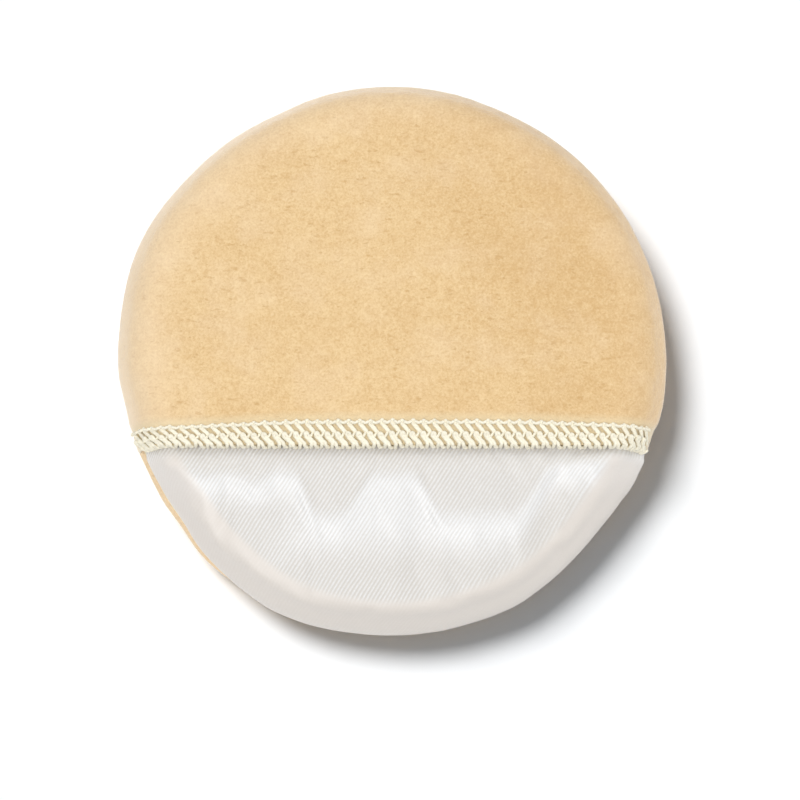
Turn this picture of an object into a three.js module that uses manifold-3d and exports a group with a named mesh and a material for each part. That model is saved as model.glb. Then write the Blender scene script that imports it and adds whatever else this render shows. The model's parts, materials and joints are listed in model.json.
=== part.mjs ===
// Round powder puff with a satin-lined finger pocket, lying on its powdering face.
// Millimetres, +Z up. The origin is on the table under the pad's axis and the pocket opens towards -Y.
// Every layer is an offset of the foam pad's outline, so the cloths follow the pad wherever it is changed.
import * as THREE from "three";
import { mergeVertices } from "three/addons/utils/BufferGeometryUtils.js";
import Module from "manifold-3d";

const wasm = await Module();
wasm.setup();

// The puff as a whole
const PUFF_WIDTH = 100; // along X, over the velour
const LENGTH_TO_WIDTH = 1.035; // the pad is cut a little longer along Y
const PAD_THICKNESS = 14.7; // at the middle
const PAD_CROWN = 1.2; // how much the middle of the back stands above its edge
const PAD_LOWER_EDGE = 6.5; // rounding of the pad towards the powdering face
const PAD_UPPER_EDGE = 3; // rounding of the pad towards the back
const WALL_LEAN = 28.7; // degrees that the side leans in towards the back

// Cloth thicknesses and the gaps between layers
const FRONT_CLOTH = 2.4;
const SATIN_CLOTH = 0.4;
const PANEL_CLOTH = 2.2;
const LAYER_GAP = 0.3;
const POCKET_GAP = 0.4; // between satin and panel with the pocket lying closed

// Rim seam
const SEAM_GAP = 0.3; // between the two cloth edges
const SEAM_TUCK = 36; // degrees that the seam rolls under the pad's edge below the mouth
const LIP_ROUND = 0.9; // the velour edges turn in by this much at the seam
const SEAM_BEVEL = 1.7; // the front velour's edge slopes down by this much towards the pad
const SEAM_THREAD_DROP = 0.26; // of the seam thread under the seam line
const SEAM_THREAD = 0.4; // diameter
const SEAM_STITCH = 3.2; // length of one stitch

// Pocket mouth and its overlock
const MOUTH_Y = -16.9; // the panel's cut edge
const NEEDLE_LINE = 4.3; // from the cut edge to the needle holes
const HEAD_ROOM = 0.9; // pressed band behind the needle line
const PRESSED_CLOTH = 0.9; // the velour under the stitches
const PRESSED_BELOW = 0.75; // room under it for the threads
const STITCH_PITCH = 1.9;
const END_MARGIN = 1.6; // from the rim seam to the first stitch
const NEEDLE_THREAD = 0.3; // diameter
const LOOPER_THREAD = 0.36; // diameter
const THREAD_GAP = 0.1; // between threads that cross, and between thread and cloth
const NEEDLE_LOOP = 0.56; // between the two strands in one needle hole
const PURL_LINE = 2.2; // from the needle line to where the loopers meet on the face
const STITCH_LEAN = 0.7; // pitches that a leg leans from needle line to purl
const LOOP_HEAD = 0.4; // reach of an upper looper head beyond the needle line
const TURN_DEPTH = 0.16; // of its turn at the purl
const HOOK_HEAD = 0.4; // reach of a lower looper head beyond the purl
const HOOK_TAIL = 0.5; // from the purl to where both strands of that head lie down
const UNDER_HEAD = 1.2; // from the needle line to the lower looper's turn under the cloth
const SEAM_WAVE = 0.04; // rise and fall of the seam thread in each stitch

// Mesh steps
const ROUND_STEPS = 48;
const THREAD_SIDES = 3;

// Offsets of the layers from the pad's outline
const SATIN_INNER = LAYER_GAP;
const SATIN_OUTER = SATIN_INNER + SATIN_CLOTH;
const PANEL_INNER = SATIN_OUTER + POCKET_GAP;
const PANEL_OUTER = PANEL_INNER + PANEL_CLOTH;
const PRESSED_INNER = PANEL_INNER + PRESSED_BELOW;
const PRESSED_OUTER = PRESSED_INNER + PRESSED_CLOTH;
const FRONT_INNER = LAYER_GAP;
const FRONT_OUTER = FRONT_INNER + FRONT_CLOTH;

// The pad's outline in the half plane of radius and height: crown, upper edge, wall, lower edge, flat face
const PAD_RADIUS = PUFF_WIDTH / 2 - PANEL_OUTER;
const PAD_TOP = FRONT_OUTER + PAD_THICKNESS;
const lowerCentre = new THREE.Vector2(PAD_RADIUS - PAD_LOWER_EDGE, FRONT_OUTER + PAD_LOWER_EDGE);
const wallAngle = THREE.MathUtils.degToRad(WALL_LEAN);
const upperHeight = PAD_TOP - PAD_CROWN - PAD_UPPER_EDGE;
const wallRise = (upperHeight - lowerCentre.y) * Math.sin(wallAngle);
const upperCentre = new THREE.Vector2(
  lowerCentre.x + (PAD_LOWER_EDGE - PAD_UPPER_EDGE - wallRise) / Math.cos(wallAngle),
  upperHeight,
);
const CROWN_RADIUS = (upperCentre.x ** 2 + PAD_CROWN ** 2) / (2 * PAD_CROWN) + PAD_UPPER_EDGE;
const crownCentre = new THREE.Vector2(0, PAD_TOP - CROWN_RADIUS);
const crownEnd = upperCentre.clone().sub(crownCentre).angle();
const SEAM_HEIGHT = lowerCentre.y;
const LIP_ANGLE = LIP_ROUND / (PAD_LOWER_EDGE + PANEL_OUTER);
const GAP_ANGLE = SEAM_GAP / 2 / PAD_LOWER_EDGE;
const REACH = PUFF_WIDTH;

const velour = new THREE.MeshStandardMaterial({ color: 0xedce9b, roughness: 0.95, metalness: 0 });
const satin = new THREE.MeshStandardMaterial({ color: 0xf1efec, roughness: 0.45, metalness: 0 });
const thread = new THREE.MeshStandardMaterial({ color: 0xfcf4de, roughness: 0.7, metalness: 0 });
const foam = new THREE.MeshStandardMaterial({ color: 0xf4e9c8, roughness: 1, metalness: 0 });

function bareIndexed(geometry) {
  geometry.deleteAttribute("normal");
  geometry.deleteAttribute("uv");
  const merged = mergeVertices(geometry, 1e-4);
  const index = merged.getIndex().array;
  const kept = [];
  for (let i = 0; i < index.length; i += 3) {
    const [a, b, c] = [index[i], index[i + 1], index[i + 2]];
    if (a !== b && b !== c && c !== a) {
      kept.push(a, b, c);
    }
  }
  merged.setIndex(kept);
  return merged;
}

function solid(geometry) {
  const bare = bareIndexed(geometry);
  const mesh = new wasm.Mesh({
    numProp: 3,
    vertProperties: new Float32Array(bare.getAttribute("position").array),
    triVerts: new Uint32Array(bare.getIndex().array),
  });
  return new wasm.Manifold(mesh);
}

function geometryOf(manifold) {
  const mesh = manifold.getMesh();
  const geometry = new THREE.BufferGeometry();
  geometry.setAttribute("position", new THREE.BufferAttribute(new Float32Array(mesh.vertProperties), 3));
  geometry.setIndex(new THREE.BufferAttribute(new Uint32Array(mesh.triVerts), 1));
  return geometry;
}

function arc(centre, radius, from, to, steps) {
  const points = [];
  for (let i = 0; i <= steps; i++) {
    const angle = from + ((to - from) * i) / steps;
    const x = centre.x + radius * Math.cos(angle);
    points.push(new THREE.Vector2(Math.abs(x) < 1e-6 ? 0 : x, centre.y + radius * Math.sin(angle)));
  }
  return points;
}

// From the axis over the back and down the side to the angle on the lower edge
function backOutline(offset, lastAngle) {
  return [
    ...arc(crownCentre, CROWN_RADIUS + offset, Math.PI / 2, crownEnd, 3),
    ...arc(upperCentre, PAD_UPPER_EDGE + offset, crownEnd, wallAngle, 4).slice(1),
    ...arc(lowerCentre, PAD_LOWER_EDGE + offset, wallAngle, lastAngle, 3),
  ];
}

// From the angle on the lower edge round under the pad to the axis, thinned by as much at its start
function faceOutline(offset, firstAngle, thinned = 0) {
  const points = [];
  for (let i = 0; i <= 6; i++) {
    const share = 1 - i / 6;
    const angle = -Math.PI / 2 + (firstAngle + Math.PI / 2) * share;
    points.push(onLowerEdge(offset - thinned * share, angle));
  }
  points.push(new THREE.Vector2(0, lowerCentre.y - PAD_LOWER_EDGE - offset));
  return points;
}

function onLowerEdge(offset, angle) {
  const reach = PAD_LOWER_EDGE + offset;
  return new THREE.Vector2(lowerCentre.x + reach * Math.cos(angle), lowerCentre.y + reach * Math.sin(angle));
}

// A solid of one profile all round, given from the axis outwards and back to the axis
function revolve(profile) {
  const geometry = new THREE.LatheGeometry([...profile].reverse(), ROUND_STEPS);
  geometry.rotateX(Math.PI / 2);
  geometry.scale(1, LENGTH_TO_WIDTH, 1);
  return solid(geometry);
}

// The same with a profile that changes with the angle round the axis
function loft(profileAt) {
  const positions = [];
  const index = [];
  const rows = profileAt(0).length;
  for (let step = 0; step < ROUND_STEPS; step++) {
    const turn = (2 * Math.PI * step) / ROUND_STEPS;
    for (const { x, y } of profileAt(turn)) {
      positions.push(x * Math.cos(turn), x * Math.sin(turn) * LENGTH_TO_WIDTH, y);
    }
    const here = step * rows;
    const next = ((step + 1) % ROUND_STEPS) * rows;
    for (let i = 0; i < rows - 1; i++) {
      index.push(here + i, here + i + 1, next + i + 1);
      index.push(here + i, next + i + 1, next + i);
    }
  }
  const geometry = new THREE.BufferGeometry();
  geometry.setAttribute("position", new THREE.Float32BufferAttribute(positions, 3));
  geometry.setIndex(index);
  return bareIndexed(geometry);
}

function block(yFrom, yTo) {
  const geometry = new THREE.BoxGeometry(2 * REACH, yTo - yFrom, 2 * REACH);
  geometry.translate(0, (yFrom + yTo) / 2, 0);
  return solid(geometry);
}

// The seam lies on the widest line beside the pocket and rolls under below the mouth: 0 to 1
function tuckShare(turn) {
  const mouthEnd = -MOUTH_Y / (PAD_RADIUS * LENGTH_TO_WIDTH);
  return THREE.MathUtils.smoothstep(-Math.sin(turn), mouthEnd, 1);
}

function seamAngle(turn) {
  return -THREE.MathUtils.degToRad(SEAM_TUCK) * tuckShare(turn);
}

// Signed distance of a point in the half plane from the pad's outline, above the flat face
function padDistance(r, z) {
  const point = new THREE.Vector2(r, z);
  const fromLower = point.clone().sub(lowerCentre);
  if (Math.atan2(fromLower.y, fromLower.x) <= wallAngle && fromLower.x > 0) {
    return fromLower.length() - PAD_LOWER_EDGE;
  }
  const fromUpper = point.clone().sub(upperCentre);
  const angle = Math.atan2(fromUpper.y, fromUpper.x);
  if (angle <= wallAngle) {
    return fromLower.x * Math.cos(wallAngle) + fromLower.y * Math.sin(wallAngle) - PAD_LOWER_EDGE;
  }
  if (angle <= crownEnd) {
    return fromUpper.length() - PAD_UPPER_EDGE;
  }
  return point.distanceTo(crownCentre) - CROWN_RADIUS;
}

// Distance along a line, from a start in the plane of one y, to where it crosses an offset of the pad
function crossing(start, direction, offset, from, to) {
  let near = from;
  let far = to;
  for (let i = 0; i < 50; i++) {
    const middle = (near + far) / 2;
    const point = start.clone().addScaledVector(direction, middle);
    if (padDistance(Math.hypot(point.x, point.y / LENGTH_TO_WIDTH), point.z) < offset) {
      near = middle;
    } else {
      far = middle;
    }
  }
  return start.clone().addScaledVector(direction, near);
}

// The point of the pressed band's face in the plane of one y, on the ray at an angle from the spine
function onBand(angle, y) {
  const spine = new THREE.Vector3(0, y, SEAM_HEIGHT);
  return crossing(spine, new THREE.Vector3(Math.cos(angle), 0, Math.sin(angle)), PRESSED_OUTER, 0, REACH);
}

// From there square to the cloth, still in the plane of that y, to another offset
function onLayer(offset, angle, y) {
  const foot = onBand(angle, y);
  const r = Math.hypot(foot.x, y / LENGTH_TO_WIDTH);
  const slopeR = padDistance(r + 0.01, foot.z) - padDistance(r - 0.01, foot.z);
  const slopeZ = padDistance(r, foot.z + 0.01) - padDistance(r, foot.z - 0.01);
  const out = new THREE.Vector3((slopeR * foot.x) / r, 0, slopeZ).normalize();
  return crossing(foot, out, offset, -PRESSED_OUTER, PRESSED_OUTER);
}

// Angles along the mouth from left to right, with the length run so far
const NEEDLE_Y = MOUTH_Y + NEEDLE_LINE;
const mouthRun = [];
for (let i = 0; i <= 600; i++) {
  const angle = Math.PI - (Math.PI * i) / 600;
  const point = onBand(angle, NEEDLE_Y);
  const last = mouthRun[mouthRun.length - 1];
  mouthRun.push({ angle, point, length: last ? last.length + last.point.distanceTo(point) : 0 });
}
const MOUTH_LENGTH = mouthRun[mouthRun.length - 1].length;
const STITCHES = Math.floor((MOUTH_LENGTH - 2 * END_MARGIN) / STITCH_PITCH) - 1;
const FIRST_STITCH = (MOUTH_LENGTH - STITCHES * STITCH_PITCH) / 2;

function mouthAngle(run) {
  const at = mouthRun.findIndex((step) => step.length >= run);
  const [a, b] = [mouthRun[at - 1], mouthRun[at]];
  return a.angle + ((b.angle - a.angle) * (run - a.length)) / (b.length - a.length);
}

// A point of a mouth thread: stitch number and part of a pitch, distance from the needle line, offset
function stitchPoint(stitch, across, offset) {
  return onLayer(offset, mouthAngle(FIRST_STITCH + stitch * STITCH_PITCH), NEEDLE_Y - across);
}

// A thread as one closed tube with a ring of corners at each point of its path, square to the bend there
function tube(path, diameter, closed) {
  const count = path.length;
  const positions = [];
  const index = [];
  let side = new THREE.Vector3(0, 0, 1);
  let lastAlong = null;
  for (let i = 0; i < count; i++) {
    const before = path[closed ? (i + count - 1) % count : Math.max(i - 1, 0)];
    const after = path[closed ? (i + 1) % count : Math.min(i + 1, count - 1)];
    const arriving = path[i].clone().sub(before).normalize();
    const leaving = after.clone().sub(path[i]).normalize();
    const along = arriving.add(leaving).normalize();
    if (lastAlong) {
      side.applyQuaternion(new THREE.Quaternion().setFromUnitVectors(lastAlong, along));
    }
    side = side.clone().addScaledVector(along, -side.dot(along)).normalize();
    lastAlong = along;
    const over = along.clone().cross(side);
    for (let k = 0; k < THREAD_SIDES; k++) {
      const angle = (2 * Math.PI * k) / THREAD_SIDES;
      const corner = path[i].clone();
      corner.addScaledVector(side, (Math.cos(angle) * diameter) / 2);
      corner.addScaledVector(over, (Math.sin(angle) * diameter) / 2);
      positions.push(corner.x, corner.y, corner.z);
    }
  }
  for (let i = 0; i < (closed ? count : count - 1); i++) {
    const ring = i * THREAD_SIDES;
    const next = ((i + 1) % count) * THREAD_SIDES;
    for (let k = 0; k < THREAD_SIDES; k++) {
      const k1 = (k + 1) % THREAD_SIDES;
      index.push(ring + k, ring + k1, next + k1);
      index.push(ring + k, next + k1, next + k);
    }
  }
  if (!closed) {
    const last = (count - 1) * THREAD_SIDES;
    for (let k = 1; k < THREAD_SIDES - 1; k++) {
      index.push(0, k + 1, k);
      index.push(last, last + k, last + k + 1);
    }
  }
  const geometry = new THREE.BufferGeometry();
  geometry.setAttribute("position", new THREE.Float32BufferAttribute(positions, 3));
  geometry.setIndex(index);
  return geometry;
}

function piece(name, geometry, material) {
  const mesh = new THREE.Mesh(geometry, material.clone());
  mesh.name = name;
  return mesh;
}

// Foam pad
function foamPad() {
  return geometryOf(revolve([...backOutline(0, 0), ...faceOutline(0, 0).slice(1)]));
}

// Velour of the powdering face, whose edge turns in at the seam and slopes to hold the seam thread
function frontCover() {
  return loft((turn) => {
    const seam = seamAngle(turn);
    const bevelAngle = SEAM_BEVEL / (PAD_LOWER_EDGE + FRONT_INNER);
    const inner = faceOutline(FRONT_INNER, seam - bevelAngle).reverse();
    const lip = onLowerEdge(FRONT_OUTER - LIP_ROUND, seam - GAP_ANGLE);
    return [...inner, lip, ...faceOutline(FRONT_OUTER, seam - LIP_ANGLE, LIP_ROUND * tuckShare(turn))];
  });
}

// Satin over the back of the pad, down to the seam
function satinCover() {
  return loft((turn) => {
    const lowest = seamAngle(turn) + GAP_ANGLE;
    return [...backOutline(SATIN_OUTER, lowest), ...backOutline(SATIN_INNER, lowest).reverse()];
  });
}

// Velour panel of the pocket, pressed thin under the stitches and pierced at every needle hole
function pocketPanel() {
  const bandY = NEEDLE_Y + HEAD_ROOM;
  const lip = onLowerEdge(PANEL_OUTER - LIP_ROUND, GAP_ANGLE);
  const face = [...backOutline(PANEL_OUTER, LIP_ANGLE), lip];
  const full = revolve([...face, ...backOutline(PANEL_INNER, GAP_ANGLE).reverse()]);
  const pressedFace = backOutline(PRESSED_OUTER, GAP_ANGLE);
  const pressed = revolve([...pressedFace, ...backOutline(PRESSED_INNER, GAP_ANGLE).reverse()]);
  const panel = full.intersect(block(bandY, REACH)).add(pressed.intersect(block(MOUTH_Y, bandY + THREAD_GAP)));
  let holes = needleHole(0);
  for (let i = 1; i < STITCHES; i++) {
    holes = holes.add(needleHole(i));
  }
  return geometryOf(panel.subtract(holes));
}

function needleHole(stitch) {
  const width = NEEDLE_LOOP + NEEDLE_THREAD + 2 * THREAD_GAP;
  const length = NEEDLE_THREAD + 2 * THREAD_GAP;
  const middle = (PRESSED_INNER + PRESSED_OUTER) / 2;
  const along = stitchPoint(stitch + 0.1, 0, middle).sub(stitchPoint(stitch - 0.1, 0, middle)).normalize();
  const across = new THREE.Vector3(0, 1, 0);
  const up = along.clone().cross(across).normalize();
  const geometry = new THREE.BoxGeometry(width, length, 2 * PRESSED_CLOTH);
  geometry.applyMatrix4(new THREE.Matrix4().makeBasis(along, across, up));
  const centre = stitchPoint(stitch, 0, middle);
  geometry.translate(centre.x, centre.y, centre.z);
  return solid(geometry);
}

// Heights of the threads: lying on the cloth, crossing over a lying thread, and lying under the cloth
const ON_CLOTH = PRESSED_OUTER + THREAD_GAP + LOOPER_THREAD / 2;
const OVER_LOOPER = ON_CLOTH + LOOPER_THREAD + THREAD_GAP;
const UNDER_CLOTH = PRESSED_INNER - THREAD_GAP - LOOPER_THREAD / 2;
const MID_CLOTH = (ON_CLOTH + UNDER_CLOTH) / 2;
const AT_EDGE = NEEDLE_LINE + LOOPER_THREAD / 2;
const OFF_EDGE = AT_EDGE + LOOPER_THREAD / 2 + THREAD_GAP;
const HALF_LOOP = NEEDLE_LOOP / 2 / STITCH_PITCH;

// Needle thread: along the face over the upper looper's heads, down and up again through each hole
function needleThread() {
  const path = [];
  for (let i = 0; i < STITCHES; i++) {
    path.push(stitchPoint(i - HALF_LOOP, 0, OVER_LOOPER));
    path.push(stitchPoint(i - HALF_LOOP, 0, UNDER_CLOTH));
    path.push(stitchPoint(i + HALF_LOOP, 0, UNDER_CLOTH));
    path.push(stitchPoint(i + HALF_LOOP, 0, OVER_LOOPER));
  }
  return tube(path, NEEDLE_THREAD, false);
}

// Upper looper thread: heads held under the needle thread, legs leaning down to a narrow turn at the purl
function upperLooperThread() {
  const path = [];
  for (let i = 0; i < STITCHES - 1; i++) {
    const purl = i + STITCH_LEAN;
    path.push(stitchPoint(purl - 0.18, PURL_LINE, ON_CLOTH));
    path.push(stitchPoint(purl + 0.05, PURL_LINE + TURN_DEPTH / 2, ON_CLOTH));
    path.push(stitchPoint(purl + 0.15, PURL_LINE - TURN_DEPTH, ON_CLOTH));
    path.push(stitchPoint(i + 0.3, LOOP_HEAD, ON_CLOTH));
    path.push(stitchPoint(i + 0.36, -LOOP_HEAD / 2, ON_CLOTH));
    path.push(stitchPoint(i + 0.45, -LOOP_HEAD, ON_CLOTH));
    path.push(stitchPoint(i + 0.57, -LOOP_HEAD, ON_CLOTH));
    path.push(stitchPoint(i + 0.66, -LOOP_HEAD / 2, ON_CLOTH));
    path.push(stitchPoint(i + 0.72, LOOP_HEAD, ON_CLOTH));
  }
  return tube(path, LOOPER_THREAD, false);
}

// Lower looper thread: a head hooked over each purl, both strands over the cut edge and back underneath
function lowerLooperThread() {
  const path = [];
  for (let i = 0; i < STITCHES - 2; i++) {
    const purl = i + STITCH_LEAN;
    path.push(stitchPoint(purl - 0.18, PURL_LINE + HOOK_TAIL, OVER_LOOPER));
    path.push(stitchPoint(purl - 0.08, PURL_LINE - HOOK_HEAD, OVER_LOOPER));
    path.push(stitchPoint(purl + 0.1, PURL_LINE - HOOK_HEAD, OVER_LOOPER));
    path.push(stitchPoint(purl + 0.2, PURL_LINE + HOOK_TAIL, OVER_LOOPER));
    path.push(stitchPoint(purl + 0.36, AT_EDGE, ON_CLOTH));
    path.push(stitchPoint(purl + 0.38, OFF_EDGE, MID_CLOTH));
    path.push(stitchPoint(purl + 0.4, AT_EDGE, UNDER_CLOTH));
    path.push(stitchPoint(purl + 0.6, UNDER_HEAD, UNDER_CLOTH));
    path.push(stitchPoint(purl + 0.82, UNDER_HEAD, UNDER_CLOTH));
    path.push(stitchPoint(purl + 0.98, AT_EDGE, UNDER_CLOTH));
    path.push(stitchPoint(purl + 1, OFF_EDGE, MID_CLOTH));
    path.push(stitchPoint(purl + 1.02, AT_EDGE, ON_CLOTH));
  }
  return tube(path, LOOPER_THREAD, false);
}

// Rim seam thread: one closed round along the seam, a small wave to each stitch
function rimSeamThread() {
  const steps = 2 * Math.round((Math.PI * PUFF_WIDTH) / SEAM_STITCH);
  const offset = SATIN_OUTER + LAYER_GAP + SEAM_THREAD / 2;
  const path = [];
  for (let i = 0; i < steps; i++) {
    const turn = (2 * Math.PI * i) / steps;
    const drop = SEAM_THREAD_DROP + (i % 2 ? SEAM_WAVE : -SEAM_WAVE);
    const { x, y } = onLowerEdge(offset, seamAngle(turn) - drop / PAD_LOWER_EDGE);
    path.push(new THREE.Vector3(x * Math.cos(turn), x * Math.sin(turn) * LENGTH_TO_WIDTH, y));
  }
  return tube(path, SEAM_THREAD, true);
}

const puff = new THREE.Group();
puff.name = "powder_puff";
puff.add(piece("front_velour_cover", frontCover(), velour));
puff.add(piece("foam_pad", foamPad(), foam));
puff.add(piece("satin_back_cover", satinCover(), satin));
puff.add(piece("rim_seam_thread", rimSeamThread(), thread));
puff.add(piece("velour_pocket_panel", pocketPanel(), velour));
puff.add(piece("mouth_needle_thread", needleThread(), thread));
puff.add(piece("mouth_upper_looper_thread", upperLooperThread(), thread));
puff.add(piece("mouth_lower_looper_thread", lowerLooperThread(), thread));

export default puff;
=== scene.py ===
"""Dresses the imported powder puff: foam core, satin back, velour covers, overlocked pocket mouth and a stage.

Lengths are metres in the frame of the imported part: +Z up from the powdering face, -Y out of the pocket mouth.
Every cloth is the foam pad's outline moved out along its normal, so the layers lie on each other as sewn.
"""

import json
import math

import bpy
import numpy as np
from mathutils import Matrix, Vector


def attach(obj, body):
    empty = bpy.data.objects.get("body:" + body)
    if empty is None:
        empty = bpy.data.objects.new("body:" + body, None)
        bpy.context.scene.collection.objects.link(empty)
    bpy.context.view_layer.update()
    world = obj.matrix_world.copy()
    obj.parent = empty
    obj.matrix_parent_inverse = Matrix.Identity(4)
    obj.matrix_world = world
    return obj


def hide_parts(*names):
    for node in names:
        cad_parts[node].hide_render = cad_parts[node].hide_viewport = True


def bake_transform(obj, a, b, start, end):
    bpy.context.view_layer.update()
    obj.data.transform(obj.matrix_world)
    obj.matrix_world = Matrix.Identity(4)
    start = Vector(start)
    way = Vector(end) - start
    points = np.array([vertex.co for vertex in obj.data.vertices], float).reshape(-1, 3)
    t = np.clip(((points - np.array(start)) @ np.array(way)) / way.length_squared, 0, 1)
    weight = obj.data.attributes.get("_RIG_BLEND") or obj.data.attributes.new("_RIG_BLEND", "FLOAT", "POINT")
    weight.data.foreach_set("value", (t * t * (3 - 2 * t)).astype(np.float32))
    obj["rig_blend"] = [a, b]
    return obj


bl_info = {
    "name": "Powder puff with a finger pocket",
    "version": (1, 0, 0),
    "blender": (4, 5, 0),
    "location": "View3D > Sidebar > Puff",
    "description": "Makes the cloths, threads and stage of a round powder puff around its packed frame",
    "category": "Add Mesh",
}

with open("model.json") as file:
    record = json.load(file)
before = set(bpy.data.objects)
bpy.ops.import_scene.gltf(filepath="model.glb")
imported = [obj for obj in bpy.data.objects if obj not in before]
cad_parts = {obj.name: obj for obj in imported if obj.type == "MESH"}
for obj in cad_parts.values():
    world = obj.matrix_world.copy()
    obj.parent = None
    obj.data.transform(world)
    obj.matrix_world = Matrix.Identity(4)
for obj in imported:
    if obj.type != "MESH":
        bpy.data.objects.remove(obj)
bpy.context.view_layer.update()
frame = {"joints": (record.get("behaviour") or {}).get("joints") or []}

MM = 0.001
# Radius of the first round about a pole, which a fan of triangles closes
POLE = 2.5 * MM
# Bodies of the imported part
BODY = "puff_body"
POCKET = "pocket_panel"


def length(name, description, default):
    """A length that shows in the sidebar with its unit, given in millimetres."""
    return bpy.props.FloatProperty(
        name=name, description=description, default=default * MM, unit="LENGTH", precision=5
    )


def colour(name, description, default):
    """A colour that shows in the sidebar as a swatch, given as sRGB from 0 to 255."""
    linear = [channel_light(channel / 255) for channel in default]
    return bpy.props.FloatVectorProperty(
        name=name, description=description, default=linear, subtype="COLOR", size=3, min=0, max=1
    )


def channel_light(channel):
    """The light of one sRGB channel: a short straight line near black and a power of 2.4 above it."""
    if channel <= 0.04045:
        return channel / 12.92
    return ((channel + 0.055) / 1.055) ** 2.4


class PuffSizes(bpy.types.PropertyGroup):
    """Sizes of the puff as it is sewn, with threads as thick as their loose fibres make them look."""

    puff_width: length("Puff width", "Across the velour, left to right", 100)
    length_to_width: bpy.props.FloatProperty(
        name="Length to width", description="The pad is cut a little longer than wide", default=1.035
    )
    pad_thickness: length("Pad thickness", "Foam at the middle", 14.7)
    pad_crown: length("Pad crown", "Rise of the back's middle above its edge", 1.2)
    lower_edge: length("Lower edge", "Rounding of the foam towards the powdering face", 6.5)
    upper_edge: length("Upper edge", "Rounding of the foam towards the back", 3)
    wall_lean: bpy.props.FloatProperty(
        name="Wall lean", description="Lean of the side", default=math.radians(28.7), subtype="ANGLE"
    )
    front_cloth: length("Front cloth", "Velour of the powdering face with its pile", 2.4)
    satin_cloth: length("Satin cloth", "Room that the satin takes", 0.4)
    panel_cloth: length("Panel cloth", "Velour of the pocket with its pile", 2.2)
    layer_gap: length("Layer gap", "Between foam and cloth", 0.3)
    pocket_gap: length("Pocket gap", "Between satin and panel with the pocket closed", 0.4)
    seam_tuck: bpy.props.FloatProperty(
        name="Seam tuck",
        description="How far the rim seam rolls under the edge below the mouth",
        default=math.radians(36),
        subtype="ANGLE",
    )
    mouth_y: length("Mouth", "Place of the panel's cut edge", -16.9)
    needle_line: length("Needle line", "From the cut edge to the needle holes", 4.3)
    pressed_cloth: length("Pressed cloth", "Velour under the stitches", 0.9)
    pressed_below: length("Pressed below", "Room under the pressed velour", 0.75)
    stitch_pitch: length("Stitch pitch", "From one overlock stitch to the next", 1.9)
    end_margin: length("End margin", "From the rim seam to the first stitch", 1.6)
    purl_line: length("Purl line", "From the needle line to where the loopers meet", 2.45)
    looper_thread: length("Looper thread", "Diameter of the upper looper and needle threads", 0.56)
    bulked_thread: length("Bulked thread", "Diameter of the fluffy lower looper thread", 0.7)
    seam_stitch: length("Seam stitch", "Length of one stitch of the rim seam", 3.2)
    seam_thread: length("Seam thread", "Diameter of the rim seam's thread", 0.4)


class PuffColours(bpy.types.PropertyGroup):
    """Colours of the puff's cloths and threads."""

    velour: colour("Velour", "Middle tone of the pile", (243, 212, 163))
    velour_dark: colour("Velour hollows", "Between the tufts of the pile", (214, 174, 120))
    # A paler pile tone, used for random blush and for the painted sheen round the rim
    velour_pale_sheen: colour("Velour rim", "Pile that stands on end round the rim", (255, 233, 203))
    velour_pressed: colour("Pressed velour", "Pile flattened between the stitches", (234, 222, 190))
    satin: colour("Satin", "Floats of the satin weave", (242, 241, 240))
    # satin_shade is the dark between the weave's floats, and also the painted shade below the mouth and towards
    # the satin's sides
    satin_shade: colour("Satin shade", "Between the floats, and where fingers have rubbed", (205, 198, 189))
    # satin_side_shade is painted shade on the pad's side, which faces away from the light
    satin_side_shade: colour("Satin side", "Satin round the side of the pad", (226, 216, 206))
    thread: colour("Thread", "Cream sewing thread", (254, 247, 227))
    foam: colour("Foam", "Cream foam", (244, 233, 200))
    floor: colour("Floor", "Pale table top", (255, 255, 255))


def smooth(low, high, value):
    """0 below low, 1 above high, and between them the cubic that starts and ends level."""
    share = np.clip((value - low) / (high - low), 0, 1)
    return share * share * (3 - 2 * share)


def bell(value, middle, width):
    """1 at the middle, falling off on both sides as the square's exponential."""
    return np.exp(-(((value - middle) / width) ** 2))


def run_along(path):
    """Length from the start of a path to each of its points."""
    return np.concatenate([[0], np.cumsum(np.linalg.norm(np.diff(path, axis=0), axis=1))])


def lumps(x, y, size, seed):
    """Even random lumps about 0: values on a square lattice of that size, joined by smooth cubics."""
    lattice = np.random.default_rng(seed).uniform(-1, 1, (256, 256))
    column, row = np.floor(x / size).astype(int), np.floor(y / size).astype(int)
    across, up = x / size - column, y / size - row
    across, up = across * across * (3 - 2 * across), up * up * (3 - 2 * up)

    def corner(right, above):
        """The lattice's value at one corner of each point's square."""
        return lattice[(column + right) % 256, (row + above) % 256]

    low = corner(0, 0) * (1 - across) + corner(1, 0) * across
    high = corner(0, 1) * (1 - across) + corner(1, 1) * across
    return low * (1 - up) + high * up


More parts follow.
